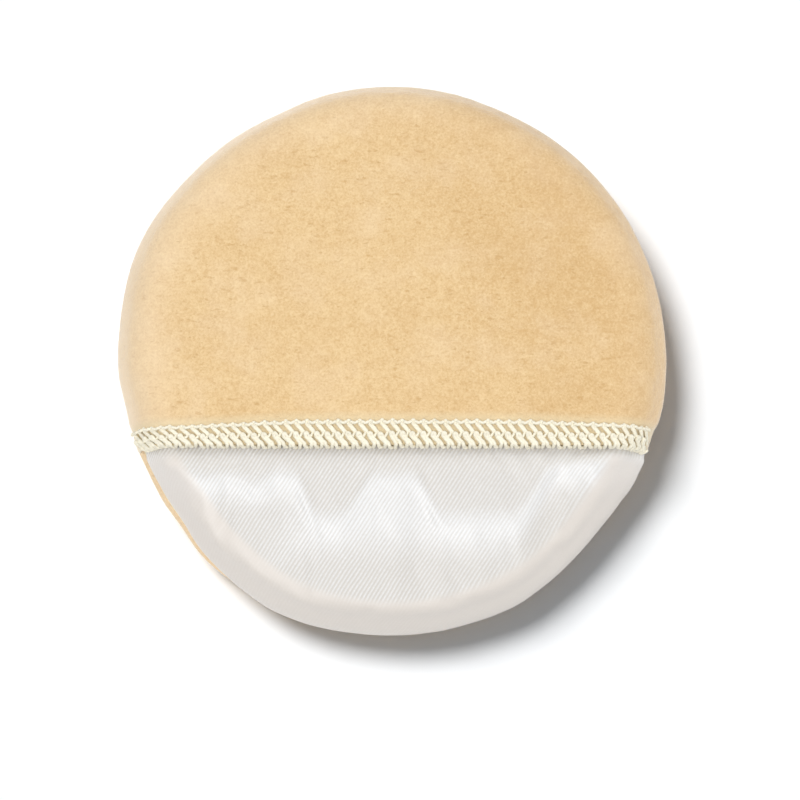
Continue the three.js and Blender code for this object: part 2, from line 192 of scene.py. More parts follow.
class PadOutline:
    """The foam pad's outline in the half plane of radius and height, walked by length from the axis.

    Five runs follow each other: the crown's flat arc, the upper edge's round, the leaning wall, the lower
    edge's round and the level face. A layer of cloth is the same walk moved out along the normal.
    """

    def __init__(self, sizes):
        satin_outer = sizes.layer_gap + sizes.satin_cloth
        self.stretch = sizes.length_to_width
        self.satin_outer = satin_outer
        self.front_inner = sizes.layer_gap
        self.front_outer = sizes.layer_gap + sizes.front_cloth
        self.panel_inner = satin_outer + sizes.pocket_gap
        self.panel_outer = self.panel_inner + sizes.panel_cloth
        self.pressed_inner = self.panel_inner + sizes.pressed_below
        self.pressed_outer = self.pressed_inner + sizes.pressed_cloth
        self.radius = sizes.puff_width / 2 - self.panel_outer
        self.low_round, self.high_round, self.lean = sizes.lower_edge, sizes.upper_edge, sizes.wall_lean
        self.low = np.array([self.radius - self.low_round, self.front_outer + self.low_round])
        top = self.front_outer + sizes.pad_thickness
        height = top - sizes.pad_crown - self.high_round
        rise = (height - self.low[1]) * math.sin(self.lean)
        drawn_in = (self.low_round - self.high_round - rise) / math.cos(self.lean)
        self.high = np.array([self.low[0] + drawn_in, height])
        half_span = (self.high[0] ** 2 + sizes.pad_crown**2) / (2 * sizes.pad_crown)
        self.crown_radius = half_span + self.high_round
        self.crown = np.array([0, top - self.crown_radius])
        self.crown_end = math.atan2(self.high[1] - self.crown[1], self.high[0])
        lean_out = np.array([math.cos(self.lean), math.sin(self.lean)])
        self.wall_top = self.high + self.high_round * lean_out
        self.wall_foot = self.low + self.low_round * lean_out
        runs = [
            self.crown_radius * (math.pi / 2 - self.crown_end),
            self.high_round * (self.crown_end - self.lean),
            float(np.linalg.norm(self.wall_foot - self.wall_top)),
            self.low_round * (self.lean + math.pi / 2),
            self.low[0],
        ]
        self.ends = np.cumsum(runs)
        self.widest = self.ends[2] + self.low_round * self.lean
        self.seam_tuck = sizes.seam_tuck
        self.mouth_sine = -sizes.mouth_y / (self.radius * self.stretch)

    def along(self, walk):
        """Radius, height and the normal's two parts at lengths along the walk, each from its run."""
        walk = np.asarray(walk, float)
        run = [walk < end for end in self.ends[:4]]
        crown = math.pi / 2 - walk / self.crown_radius
        high = self.crown_end - (walk - self.ends[0]) / self.high_round
        low = self.lean - (walk - self.ends[2]) / self.low_round
        down = (walk - self.ends[1]) / (self.ends[2] - self.ends[1])
        turn = np.select(run, [crown, high, np.full_like(walk, self.lean), low], -math.pi / 2)
        out, up = np.cos(turn), np.sin(turn)
        radius = np.select(
            run,
            [
                self.crown_radius * out,
                self.high[0] + self.high_round * out,
                self.wall_top[0] + (self.wall_foot - self.wall_top)[0] * down,
                self.low[0] + self.low_round * out,
            ],
            np.maximum(self.ends[4] - walk, 0),
        )
        height = np.select(
            run,
            [
                self.crown[1] + self.crown_radius * up,
                self.high[1] + self.high_round * up,
                self.wall_top[1] + (self.wall_foot - self.wall_top)[1] * down,
                self.low[1] + self.low_round * up,
            ],
            self.low[1] - self.low_round,
        )
        return radius, height, out, up

    def skin(self, walk, turn, offset):
        """Points at a walk and a turn round the axis, moved out square to the outline by the offset."""
        radius, height, out, up = self.along(walk)
        reach = radius + out * offset
        x, y, z = np.broadcast_arrays(
            reach * np.cos(turn), self.stretch * reach * np.sin(turn), height + up * offset
        )
        return np.stack([x, y, z], axis=-1)

    def distance(self, radius, height):
        """Signed distance from the outline above its level face, by the run whose sector holds the point."""
        low_x, low_z = radius - self.low[0], height - self.low[1]
        high_x, high_z = radius - self.high[0], height - self.high[1]
        by_low = (np.arctan2(low_z, low_x) <= self.lean) & (low_x > 0)
        angle = np.arctan2(high_z, high_x)
        wall = low_x * math.cos(self.lean) + low_z * math.sin(self.lean) - self.low_round
        return np.select(
            [by_low, angle <= self.lean, angle <= self.crown_end],
            [np.hypot(low_x, low_z) - self.low_round, wall, np.hypot(high_x, high_z) - self.high_round],
            np.hypot(radius, height - self.crown[1]) - self.crown_radius,
        )

    def tuck(self, turn):
        """How far the rim seam has rolled under, 0 to 1: late and slow on the left, at once on the right."""
        south = -np.sin(turn)
        left = smooth(self.mouth_sine + 0.12, 1.0, south)
        right = smooth(self.mouth_sine - 0.06, self.mouth_sine + 0.34, south)
        return np.where(np.cos(turn) < 0, left, right + (left - right) * smooth(0.25, 0.0, np.cos(turn)))

    def seam_walk(self, turn):
        """Length of the walk to the rim seam: the widest line, and on round the edge where it rolls."""
        return self.widest + self.low_round * self.seam_tuck * self.tuck(turn)


# Hand cutting: angle round the axis, width of the bell in degrees and push out in millimetres
RIM_PUSHES = (
    (30, 24, 0.15),
    (66, 10, -0.3),
    (115, 8, -0.35),
    (155, 14, 0.75),
    (191, 6, -0.7),
    (206, 9, -0.75),
    (217, 6, -0.75),
    (245, 12, 0.5),
    (322, 13, -0.9),
    (343, 7, -0.35),
)


def hand_cut(points, outline):
    """Pushes points by bells of the turn round the axis, growing with the fourth power of the radius."""
    x, y = points[..., 0], points[..., 1] / outline.stretch
    turn = np.degrees(np.arctan2(y, x))
    share = np.minimum(np.hypot(x, y) / outline.radius, 1.1) ** 4
    push = sum(
        amount * MM * bell((turn - angle + 180) % 360 - 180, 0, width) for angle, width, amount in RIM_PUSHES
    )
    moved = points.copy()
    moved[..., 0] += push * share * np.cos(np.radians(turn))
    moved[..., 1] += push * share * np.sin(np.radians(turn))
    return moved


def group(name):
    """The named collection of the scene, made the first time it is asked for."""
    found = bpy.data.collections.get(name)
    if found is None:
        found = bpy.data.collections.new(name)
        bpy.context.scene.collection.children.link(found)
    return found


def put_mesh(name, points, quads, triangles, where="puff"):
    """One mesh object at the origin from arrays of points, four-cornered and three-cornered faces."""
    mesh = bpy.data.meshes.new(name)
    corners = np.concatenate([quads.ravel(), triangles.ravel()]).astype(np.int32)
    counts = np.concatenate([np.full(len(quads), 4), np.full(len(triangles), 3)])
    starts = np.concatenate([[0], np.cumsum(counts)[:-1]]).astype(np.int32)
    mesh.vertices.add(len(points))
    mesh.vertices.foreach_set("co", np.ascontiguousarray(points, np.float32).ravel())
    mesh.loops.add(len(corners))
    mesh.loops.foreach_set("vertex_index", corners)
    mesh.polygons.add(len(counts))
    mesh.polygons.foreach_set("loop_start", starts)
    mesh.update(calc_edges=True)
    mesh.validate()
    mesh.shade_smooth()
    piece = bpy.data.objects.new(name, mesh)
    group(where).objects.link(piece)
    return piece


def round_quads(rows, columns, first, joined=False):
    """Faces of a grid whose rows are closed rounds, and whose last row meets the first if joined."""
    row = np.arange(rows if joined else rows - 1)[:, None]
    column = np.arange(columns)[None, :]
    next_row, next_column = (row + 1) % rows, (column + 1) % columns
    corners = [row * columns + column, next_row * columns + column]
    corners += [next_row * columns + next_column, row * columns + next_column]
    return first + np.stack(corners, axis=-1).reshape(-1, 4)


def closed_rounds(name, top, rounds, foot):
    """A closed body: a point, a grid of closed rounds and a last point, with a fan at both ends."""
    rows, columns = rounds.shape[:2]
    points = np.concatenate([[top], rounds.reshape(-1, 3), [foot]])
    around = np.arange(columns)
    after = (around + 1) % columns
    last = 1 + (rows - 1) * columns
    top_fan = np.stack([np.zeros(columns, int), 1 + around, 1 + after], axis=1)
    foot_fan = np.stack([np.full(columns, len(points) - 1), last + after, last + around], axis=1)
    return put_mesh(name, points, round_quads(rows, columns, 1), np.concatenate([top_fan, foot_fan]))


def note(piece, name, values):
    """A number or a vector for each point of the piece, for its material or for how it bends."""
    values = np.ascontiguousarray(values, np.float32)
    vectors = values.size == 3 * len(piece.data.vertices)
    kind, field = ("FLOAT_VECTOR", "vector") if vectors else ("FLOAT", "value")
    kept = piece.data.attributes.get(name) or piece.data.attributes.new(name, kind, "POINT")
    kept.data.foreach_set(field, values.ravel())


def points_of(piece):
    """The piece's points as one array."""
    points = np.zeros(len(piece.data.vertices) * 3, np.float32)
    piece.data.vertices.foreach_get("co", points)
    return points.reshape(-1, 3).astype(float)


class Wire:
    """A shader socket that takes part in sums. Each sum adds one Math node to the same material."""

    def __init__(self, tree, socket=None):
        self.tree = tree
        self.socket = socket

    def node(self, kind, settings=None, sockets=None, output=0):
        """Adds a node, sets it up, feeds its sockets with values or wires and gives one of its outputs."""
        made = self.tree.nodes.new(kind)
        for name, value in (settings or {}).items():
            setattr(made, name, value)
        for name, value in (sockets or {}).items():
            if isinstance(value, Wire):
                self.tree.links.new(value.socket, made.inputs[name])
            else:
                made.inputs[name].default_value = value
        return Wire(self.tree, made.outputs[output])

    def sum(self, operation, first, second):
        """One Math node on two values or wires."""
        return self.node("ShaderNodeMath", {"operation": operation}, {0: first, 1: second})

    def __add__(self, other):
        return self.sum("ADD", self, other)

    def __radd__(self, other):
        return self.sum("ADD", other, self)

    def __sub__(self, other):
        return self.sum("SUBTRACT", self, other)

    def __rsub__(self, other):
        return self.sum("SUBTRACT", other, self)

    def __mul__(self, other):
        return self.sum("MULTIPLY", self, other)

    def __rmul__(self, other):
        return self.sum("MULTIPLY", other, self)

    def blended(self, other, share):
        """This colour turning into another one by a share from 0 to 1."""
        return blended(self, self, other, share)

    def rising(self, low, high):
        """0 where this value is below low, 1 above high, smooth between."""
        settings = {"interpolation_type": "SMOOTHSTEP"}
        sockets = {"Value": self, "From Min": low, "From Max": high, "To Min": 0.0, "To Max": 1.0}
        return self.node("ShaderNodeMapRange", settings, sockets)


def blended(sheet, first, second, share):
    """A colour between two by a share from 0 to 1."""
    return sheet.node("ShaderNodeMix", {"data_type": "RGBA"}, {0: share, 6: first, 7: second}, 2)


def solid_colour(values):
    """A colour that hides what is behind it."""
    return (*values, 1.0)


def new_material(name):
    """An empty material and a wire to start from."""
    material = bpy.data.materials.new(name)
    material.use_nodes = True
    tree = material.node_tree
    tree.nodes.clear()
    return material, Wire(tree)


def closed(material, sheet, shader, sockets):
    """The material finished with a shader of that kind, its sockets and the output."""
    made = sheet.node(shader, {}, sockets)
    output = sheet.tree.nodes.new("ShaderNodeOutputMaterial")
    sheet.tree.links.new(made.socket, output.inputs["Surface"])
    return material


def noted(sheet, name, output="Fac"):
    """What the piece's points say under that name."""
    return sheet.node("ShaderNodeAttribute", {"attribute_name": name}, {}, output)


def lengthwise(sheet, place, way):
    """How far a place lies along a direction."""
    return sheet.node("ShaderNodeVectorMath", {"operation": "DOT_PRODUCT"}, {0: place, 1: way}, "Value")


def bumped(sheet, strength, depth, height):
    """A normal that follows heights from 0 to 1."""
    return sheet.node("ShaderNodeBump", {}, {"Strength": strength, "Distance": depth, "Height": height})


def noise(sheet, place, scale, detail=2.0, roughness=0.5):
    """Noise from 0 to 1 whose lumps are about one over the scale in size."""
    sockets = {"Vector": place, "Scale": scale, "Detail": detail, "Roughness": roughness}
    return sheet.node("ShaderNodeTexNoise", {}, sockets, "Fac")


def velour_finish(colours):
    """Velour: a deep short pile, mottled by how it lies, with small dashes where the rows of tufts part,
    painted shade towards the upper right and a painted sheen round the rim.
    """
    material, sheet = new_material("velour_pile")
    place = sheet.node("ShaderNodeTexCoord", {}, {}, "Object")
    rows = sheet.node("ShaderNodeMapping", {}, {"Vector": place, "Scale": (0.42, 1.0, 0.6)})
    tufts = noise(sheet, place, 2300.0, 3.0, 0.75)
    partings = noise(sheet, rows, 1300.0, 2.0, 0.6)
    lie = noise(sheet, place, 700.0, 2.0, 0.6)
    drift = noise(sheet, place, 90.0, 2.0, 0.5)
    blush = noise(sheet, place, 130.0, 2.0, 0.5)
    # Strength of the painted sheen round the rim
    rim = noted(sheet, "rim")
    pressed = noted(sheet, "pressed")
    dashes = 1.0 - partings.rising(0.27, 0.39)
    # Painted shade: the pile darker towards the upper right, away from the light
    painted_right_shade = lengthwise(sheet, place, (0.9, 0.4, 0.0)).rising(0.0, 0.045)
    strokes = 0.42 + painted_right_shade * 0.26 + (0.5 - tufts) * 1.9
    strokes = strokes + (0.5 - lie) * 0.7 + (0.5 - drift) * 0.45 + dashes * 0.42
    hollows = strokes.rising(-0.2, 1.2)
    middle = solid_colour(colours.velour)
    deep = blended(sheet, middle, solid_colour(colours.velour_dark), hollows)
    warm = deep.blended(solid_colour(colours.velour_pale_sheen), blush.rising(0.42, 0.75) * 0.14)
    # Painted sheen: paler pile round the rim
    paint = warm.blended(solid_colour(colours.velour_pale_sheen), rim * 0.95)
    paint = paint.blended(solid_colour(colours.velour_pressed), pressed * 0.65)
    height = tufts * 0.7 - dashes * 0.3 + lie * 0.8
    bump = bumped(sheet, 0.55, 0.0003, height)
    sockets = {
        "Base Color": paint,
        "Roughness": 0.95,
        "Specular IOR Level": 0.15,
        "Sheen Weight": 1.0,
        "Sheen Roughness": 0.35,
        "Sheen Tint": (1.0, 0.93, 0.86, 1.0),
        "Normal": bump,
    }
    return closed(material, sheet, "ShaderNodeBsdfPrincipled", sockets)


# Twill of the satin: pitch of the lines in metres and the direction across them in degrees
TWILL_PITCH = 0.00063
TWILL_ACROSS = -33.0


def satin_finish(colours):
    """Satin: glossy floats in slanting twill lines, rougher and with painted shade below the mouth, painted
    shade towards the sides, and a painted beige shade round the side of the pad.
    """
    material, sheet = new_material("satin_weave")
    place = sheet.node("ShaderNodeTexCoord", {}, {}, "Object")
    unrolled = noted(sheet, "unrolled", "Vector")
    across = (math.cos(math.radians(TWILL_ACROSS)), math.sin(math.radians(TWILL_ACROSS)), 0.0)
    run = lengthwise(sheet, unrolled, across)
    drift = noise(sheet, place, 120.0, 2.0, 0.5)
    phase = run * (2 * math.pi / TWILL_PITCH) + drift * 5.0
    lines = sheet.node("ShaderNodeMath", {"operation": "SINE"}, {0: phase})
    strands = noise(sheet, place, 2600.0, 2.0, 0.6)
    # Painted shade below the mouth and towards the sides; the same mask also makes the satin rougher there
    painted_shade = noted(sheet, "painted_shade")
    side = noted(sheet, "side")
    even = lengthwise(sheet, place, (1.0, 0.0, 0.0)).rising(-0.008, 0.03)
    floats = lines * (0.62 - side * 0.4 - even * 0.2) * (0.45 + strands * 1.1) + 0.5
    # Share towards the shade colour: darker between the weave's floats, plus the painted shade
    weave_and_shade = (1.0 - floats) * 0.42 + (1.0 - strands) * 0.42 + painted_shade * 0.36
    bright = solid_colour(colours.satin)
    woven = blended(sheet, bright, solid_colour(colours.satin_shade), weave_and_shade.rising(0.0, 1.1))
    # Painted beige shade on the pad's side
    paint = woven.blended(solid_colour(colours.satin_side_shade), side * 0.75)
    height = floats * 0.6 + strands * 0.5
    bump = bumped(sheet, 0.6, 0.00009, height)
    shine = 0.32 + painted_shade * 0.12 + strands * 0.10
    sockets = {
        "Base Color": paint,
        "Roughness": shine,
        "Specular IOR Level": 0.6,
        "Sheen Weight": 0.12,
        "Sheen Roughness": 0.35,
        "Normal": bump,
    }
    return closed(material, sheet, "ShaderNodeBsdfPrincipled", sockets)


def thread_finish(colours):
    """Cream thread: two soft plies with fine fibres, with painted shade a touch darker between them."""
    material, sheet = new_material("cream_thread")
    place = sheet.node("ShaderNodeTexCoord", {}, {}, "Object")
    fibres = noise(sheet, place, 5200.0, 3.0, 0.6)
    lots = noise(sheet, place, 420.0, 2.0, 0.5)
    groove = noted(sheet, "groove")
    cream = solid_colour(colours.thread)
    dim_tone_and_shade = tuple(channel * share for channel, share in zip(colours.thread, (0.82, 0.76, 0.62)))
    # Painted shade in the grooves between the plies, and random duller tone from the fibres and the thread's
    # lots
    dim = groove * 0.16 + (1.0 - fibres) * 0.3 + (0.5 - lots) * 0.3
    paint = blended(sheet, cream, solid_colour(dim_tone_and_shade), dim.rising(0.0, 1.0))
    bump = bumped(sheet, 0.4, 0.00006, fibres)
    sockets = {
        "Base Color": paint,
        "Roughness": 0.62,
        "Specular IOR Level": 0.35,
        "Sheen Weight": 0.2,
        "Sheen Roughness": 0.4,
        "Normal": bump,
    }
    return closed(material, sheet, "ShaderNodeBsdfPrincipled", sockets)


def foam_finish(colours):
    """Foam: fine open cells."""
    material, sheet = new_material("foam_cells")
    place = sheet.node("ShaderNodeTexCoord", {}, {}, "Object")
    cells = sheet.node("ShaderNodeTexVoronoi", {}, {"Vector": place, "Scale": 1400.0}, "Distance")
    skin = cells.rising(0.1, 0.7)
    cream = solid_colour(colours.foam)
    shaded = tuple(channel * 0.72 for channel in colours.foam)
    paint = blended(sheet, solid_colour(shaded), cream, skin)
    bump = bumped(sheet, 0.6, 0.0003, skin)
    sockets = {"Base Color": paint, "Roughness": 1.0, "Normal": bump}
    return closed(material, sheet, "ShaderNodeBsdfPrincipled", sockets)


def finish(name, maker):
    """The named material, made the first time it is asked for."""
    found = bpy.data.materials.get(name)
    return found or maker(bpy.context.scene.puff_colours)


def dress(piece, material, node):
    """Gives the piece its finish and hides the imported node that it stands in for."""
    piece.data.materials.append(material)
    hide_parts(node)


def even_turns(count):
    """Angles once round the axis in even steps."""
    return np.linspace(0, 2 * math.pi, count, endpoint=False)


# Rounds of the foam over its back and face and over its side, angles of each, and radius of the first one
FOAM_LEVEL = 24
FOAM_SIDE = 34
FOAM_TURNS = 180
FOAM_POLE = 2 * MM


def make_foam(sizes):
    """Foam core: the outline itself carried once round the axis, from the back's middle to the face's."""
    outline = PadOutline(sizes)
    walk = np.concatenate(
        [
            np.linspace(FOAM_POLE, outline.ends[0], FOAM_LEVEL, endpoint=False),
            np.linspace(outline.ends[0], outline.ends[3], FOAM_SIDE, endpoint=False),
            np.linspace(outline.ends[3], outline.ends[4] - FOAM_POLE, FOAM_LEVEL),
        ]
    )
    turn = even_turns(FOAM_TURNS)
    rounds = hand_cut(outline.skin(walk[:, None], turn[None, :], 0.0), outline)
    ends = outline.skin(np.array([0, outline.ends[4]]), 0.0, 0.0)
    return closed_rounds("foam_core", ends[0], rounds, ends[1])


def south_turns(outline, many, few):
    """Angles round the axis, set close below the mouth where the satin shows and wider under the panel."""
    edge = math.asin(outline.mouth_sine) - math.radians(4)
    shown = np.linspace(math.pi + edge, 2 * math.pi - edge, many, endpoint=False)
    hidden = np.linspace(2 * math.pi - edge, 3 * math.pi + edge, few, endpoint=False)
    return np.concatenate([shown, hidden])


# The satin's fold below the mouth in millimetres: how far it lies from the mouth and how high it stands
FOLD_REACH = 6.0
FOLD_HEIGHT = 0.55
# Small waves of the fold: place along X, half width and how much further from the mouth
FOLD_WAVES = ((-30.0, 2.4, -0.5), (-24.6, 2.2, 0.9), (-19.6, 2.0, -0.9))
# Two wide bays of the fold: where it falls away from the mouth, where it comes back, and by how much
FOLD_BAYS = ((-17.5, -13.0, -9.5, -2.5, 7.2), (3.5, 9.5, 21.0, 29.0, 7.2))


def fold_crest(x_mm):
    """The fold's distance from the mouth: even in the middle, fading at the ends, plus waves and bays."""
    left = smooth(-48, -33, x_mm)
    right = 1 - 0.45 * smooth(24, 31, x_mm) - 0.5 * smooth(36, 46, x_mm)
    waves = sum(more * bell(x_mm, place, wide) for place, wide, more in FOLD_WAVES)
    bays = sum(more * (smooth(*span[:2], x_mm) - smooth(*span[2:], x_mm)) for *span, more in FOLD_BAYS)
    return FOLD_REACH * left * right + waves + bays


def satin_rise(x, y, mouth_y):
    """How far the satin stands off its layer, from the mouth down to the pad's edge.

    It starts pressed up against the panel, climbs evenly to the fold's crest, has a soft ridge there and
    sinks back over the two centimetres beyond. Fine random lumps make the rest uneven.
    """
    below = (mouth_y - y) / MM
    x_mm, y_mm = x / MM, y / MM
    crest = fold_crest(x_mm)
    climbed = np.clip(below / np.maximum(crest, 1.0), 0, 1)
    sunk = 1 - smooth(0, 20, below - crest)
    ridge = 0.44 * bell(below, crest + 0.3, 2.5) * smooth(0.5, 4, crest)
    pressed_up = 0.4 * smooth(-7, -1, below) * (1 - smooth(4, 22, below))
    fine = 0.08 * lumps(x_mm, y_mm * 0.6, 4.5, 3) + 0.04 * lumps(x_mm, y_mm, 2.1, 4)
    return (FOLD_HEIGHT * climbed * sunk + ridge + pressed_up + fine * smooth(-0.5, 2.5, below)) * MM


# The satin's simulation: spare length of the cloth as a share, its stiffness, the pressure that blows it up,
# frames, the longest move of a point, steps between the points that take part, and rounds of softening
CLOTH_SPARE = 0.012
CLOTH_STIFFNESS = 15
CLOTH_PRESSURE = 4
CLOTH_FRAMES = 20
CLOTH_CAP = 0.8 * MM
CLOTH_EVERY = 3
CLOTH_SOFTENING = 6


def drawn_out(values, count, axis):
    """Values on a grid drawn evenly over more places along one axis, by straight lines between neighbours."""
    places = np.linspace(0, values.shape[axis] - 1, count)
    low = np.minimum(places.astype(int), values.shape[axis] - 2)
    share = np.expand_dims(places - low, [side for side in range(values.ndim) if side != axis])
    return np.take(values, low, axis) * (1 - share) + np.take(values, low + 1, axis) * share


def softened(values):
    """Values on a grid after a few rounds of averaging each with its four neighbours."""
    for _ in range(CLOTH_SOFTENING):
        wide = np.pad(values, ((1, 1), (1, 1), (0, 0)), mode="edge")
        around = wide[:-2, 1:-1] + wide[2:, 1:-1] + wide[1:-1, :-2] + wide[1:-1, 2:]
        values = values / 2 + around / 8
    return values


def settled(grid, held):
    """Moves of a grid of points by Blender's cloth simulation, none longer than the cap.

    The grid is one sheet of cloth with a little spare length, blown up from below and held where it is told.
    """
    rows, columns = grid.shape[:2]
    row, column = np.arange(rows - 1)[:, None], np.arange(columns - 1)[None, :]
    corner = row * columns + column
    quads = np.stack([corner, corner + columns, corner + columns + 1, corner + 1], axis=-1).reshape(-1, 4)
    trial = put_mesh("satin_trial", grid.reshape(-1, 3), quads, np.zeros((0, 3), int))
    pins = trial.vertex_groups.new(name="held")
    pins.add(np.flatnonzero(held).tolist(), 1.0, "REPLACE")
    modifier = trial.modifiers.new("settling", "CLOTH")
    modifier.collision_settings.use_collision = False
    modifier.point_cache.frame_end = CLOTH_FRAMES
    cloth = modifier.settings
    cloth.vertex_group_mass = pins.name
    cloth.mass = 0.001
    cloth.tension_stiffness = CLOTH_STIFFNESS
    cloth.compression_stiffness = CLOTH_STIFFNESS
    cloth.shear_stiffness = CLOTH_STIFFNESS
    cloth.bending_stiffness = 0.05
    cloth.shrink_min = -CLOTH_SPARE
    cloth.use_pressure = True
    cloth.uniform_pressure_force = CLOTH_PRESSURE
    cloth.effector_weights.gravity = 0
    scene = bpy.context.scene
    first = scene.frame_current
    for number in range(1, CLOTH_FRAMES + 1):
        scene.frame_set(number)
    shaped = trial.evaluated_get(bpy.context.evaluated_depsgraph_get()).to_mesh()
    points = np.zeros(rows * columns * 3, np.float32)
    shaped.vertices.foreach_get("co", points)
    scene.frame_set(first)
    mesh = trial.data
    bpy.data.objects.remove(trial)
    bpy.data.meshes.remove(mesh)
    moves = points.reshape(grid.shape).astype(float) - grid
    length = np.linalg.norm(moves, axis=-1, keepdims=True)
    return moves * np.minimum(1, CLOTH_CAP / np.maximum(length, CLOTH_CAP / 100))


# The satin: thickness of its sheet, angles where it shows and under the panel, rounds near the back's middle,
# where the other rounds start, and how many they are
SATIN_WALL = 0.35 * MM
SATIN_SHOWN = 259
SATIN_COVERED = 130
SATIN_NEAR = 8
SATIN_START = 14 * MM
SATIN_ROUNDS = 97
# How full the satin stands over the rim, in millimetres, by the angle round the axis in degrees
SATIN_FULLNESS = (
    (190, 0.5),
    (205, 0.25),
    (224, 0.25),
    (242, 0.65),
    (262, 0.6),
    (290, 0.6),
    (310, 0.8),
    (330, 0.7),
    (336, 1.0),
    (340, 1.7),
    (350, 1.7),
)


def satin_fullness(turn):
    """Extra stand of the satin at the widest line, by the angle round the axis: none behind the mouth."""
    degrees, amounts = np.array(SATIN_FULLNESS).T
    return np.interp(np.degrees(turn) % 360, degrees, amounts, left=0.0, right=0.0)


def make_satin(sizes):
    """Satin back: the layer over the foam down to the rim seam, raised by its folds, as a thin closed sheet.

    The outer face is the outline's layer plus the rise, and the inner face is the same one thickness in.
    Where the satin shows, a cloth simulation of some of its points moves both, but never below the layer.
    """
    outline = PadOutline(sizes)
    turn = south_turns(outline, SATIN_SHOWN, SATIN_COVERED)
    last = outline.seam_walk(turn) + 0.02 * MM
    near = np.linspace(POLE, SATIN_START, SATIN_NEAR, endpoint=False)[:, None]
    share = np.linspace(0, 1, SATIN_ROUNDS)[:, None]
    onward = SATIN_START + share * (last - SATIN_START)
    walk = np.concatenate([np.broadcast_to(near, (SATIN_NEAR, len(turn))), onward])
    flat = outline.skin(walk, turn[None, :], outline.satin_outer)
    rise = satin_rise(flat[..., 0], flat[..., 1], sizes.mouth_y)
    below = (sizes.mouth_y - flat[..., 1]) / MM
    full = satin_fullness(turn)[None, :] * smooth(-2.8, 0, below)
    bulge = full * bell(walk, outline.widest, 4.2 * MM) * MM
    edge = smooth(0, 2.0 * MM, last[None, :] - walk)
    rise = rise * edge + bulge * (0.35 + 0.65 * edge)
    outer = hand_cut(outline.skin(walk, turn[None, :], outline.satin_outer + rise), outline)
    inner = hand_cut(outline.skin(walk, turn[None, :], outline.satin_outer + rise - SATIN_WALL), outline)
    shown = (slice(SATIN_NEAR, None), slice(SATIN_SHOWN))
    held = ((below < 0.5) | (walk > outline.ends[1]))[shown]
    coarse = settled(outer[shown][::CLOTH_EVERY, ::CLOTH_EVERY], held[::CLOTH_EVERY, ::CLOTH_EVERY])
    moves = softened(drawn_out(drawn_out(coarse, held.shape[0], 0), held.shape[1], 1))
    out = (outline.skin(walk, turn[None, :], 1.0) - outline.skin(walk, turn[None, :], 0.0))[shown]
    too_deep = np.minimum(np.sum(moves * out, axis=-1) + rise[shown], 0)
    moves -= out * too_deep[..., None]
    outer[shown] += moves
    inner[shown] += moves
    ends = outline.skin(np.zeros(2), 0.0, outline.satin_outer + np.array([0, -SATIN_WALL]))
    piece = closed_rounds("satin_back", ends[0], np.concatenate([outer, inner[::-1]]), ends[1])
    points = points_of(piece)
    below = (sizes.mouth_y - points[:, 1]) / MM
    x_mm = points[:, 0] / MM
    beyond = below - fold_crest(x_mm)
    # Painted shade from the mouth down to the fold's crest, where the panel's edge shades the satin and it
    # slopes away from the light
    painted_shade = 0.75 * (1 - smooth(-3.0, 0.8, beyond)) * smooth(-8, -2, below)
    # More painted shade to the left, right and low down, sparing a band just past the crest where the highlight
    # falls
    painted_outer_shade = np.maximum(smooth(8, 26, np.abs(x_mm)), smooth(13, 23, below)) * (1 - bell(beyond, 1.5, 3.2))
    note(piece, "painted_shade", np.clip(painted_shade + 0.9 * painted_outer_shade * smooth(-1, 2, beyond), 0, 1))
    far = np.concatenate([[0], walk.ravel(), walk[::-1].ravel(), [0]])
    around = np.concatenate([[0], np.tile(turn, 2 * len(walk)), [0]])
    # Painted beige shade round the pad's side, from the crown's edge down; it starts higher on the left, along
    # the fold there. The same mask fades the twill on the side.
    creased = far + 1.2 * MM * bell(np.degrees(around) % 360, 226, 20)
    crease = 0.55 * outline.ends[0] + 0.45 * outline.ends[1]
    note(piece, "side", smooth(outline.ends[0], crease, creased) * smooth(0, 3, below))
    unrolled = [far * np.cos(around), far * np.sin(around) * outline.stretch, np.zeros_like(far)]
    note(piece, "unrolled", np.stack(unrolled, axis=1))
    return piece


# The velour's edge at the rim seam: half the gap between both cloths, and how far the rounded lip reaches
SEAM_HALF_GAP = 0.15 * MM
LIP_REACH = 1.1 * MM
# The velour of the face: angles of each round, rounds inside, over the lip and outside
FACE_TURNS = 400
FACE_INNER = 40
FACE_LIP = 13
FACE_OUTER = 64


def rim_sheen_share(x, y):
    """How strong the painted sheen is at the rim, by the direction from the axis: most on the left, where the
    light falls.
    """
    away = np.maximum(np.hypot(x, y), MM)
    return 0.62 - 0.36 * x / away - 0.10 * y / away


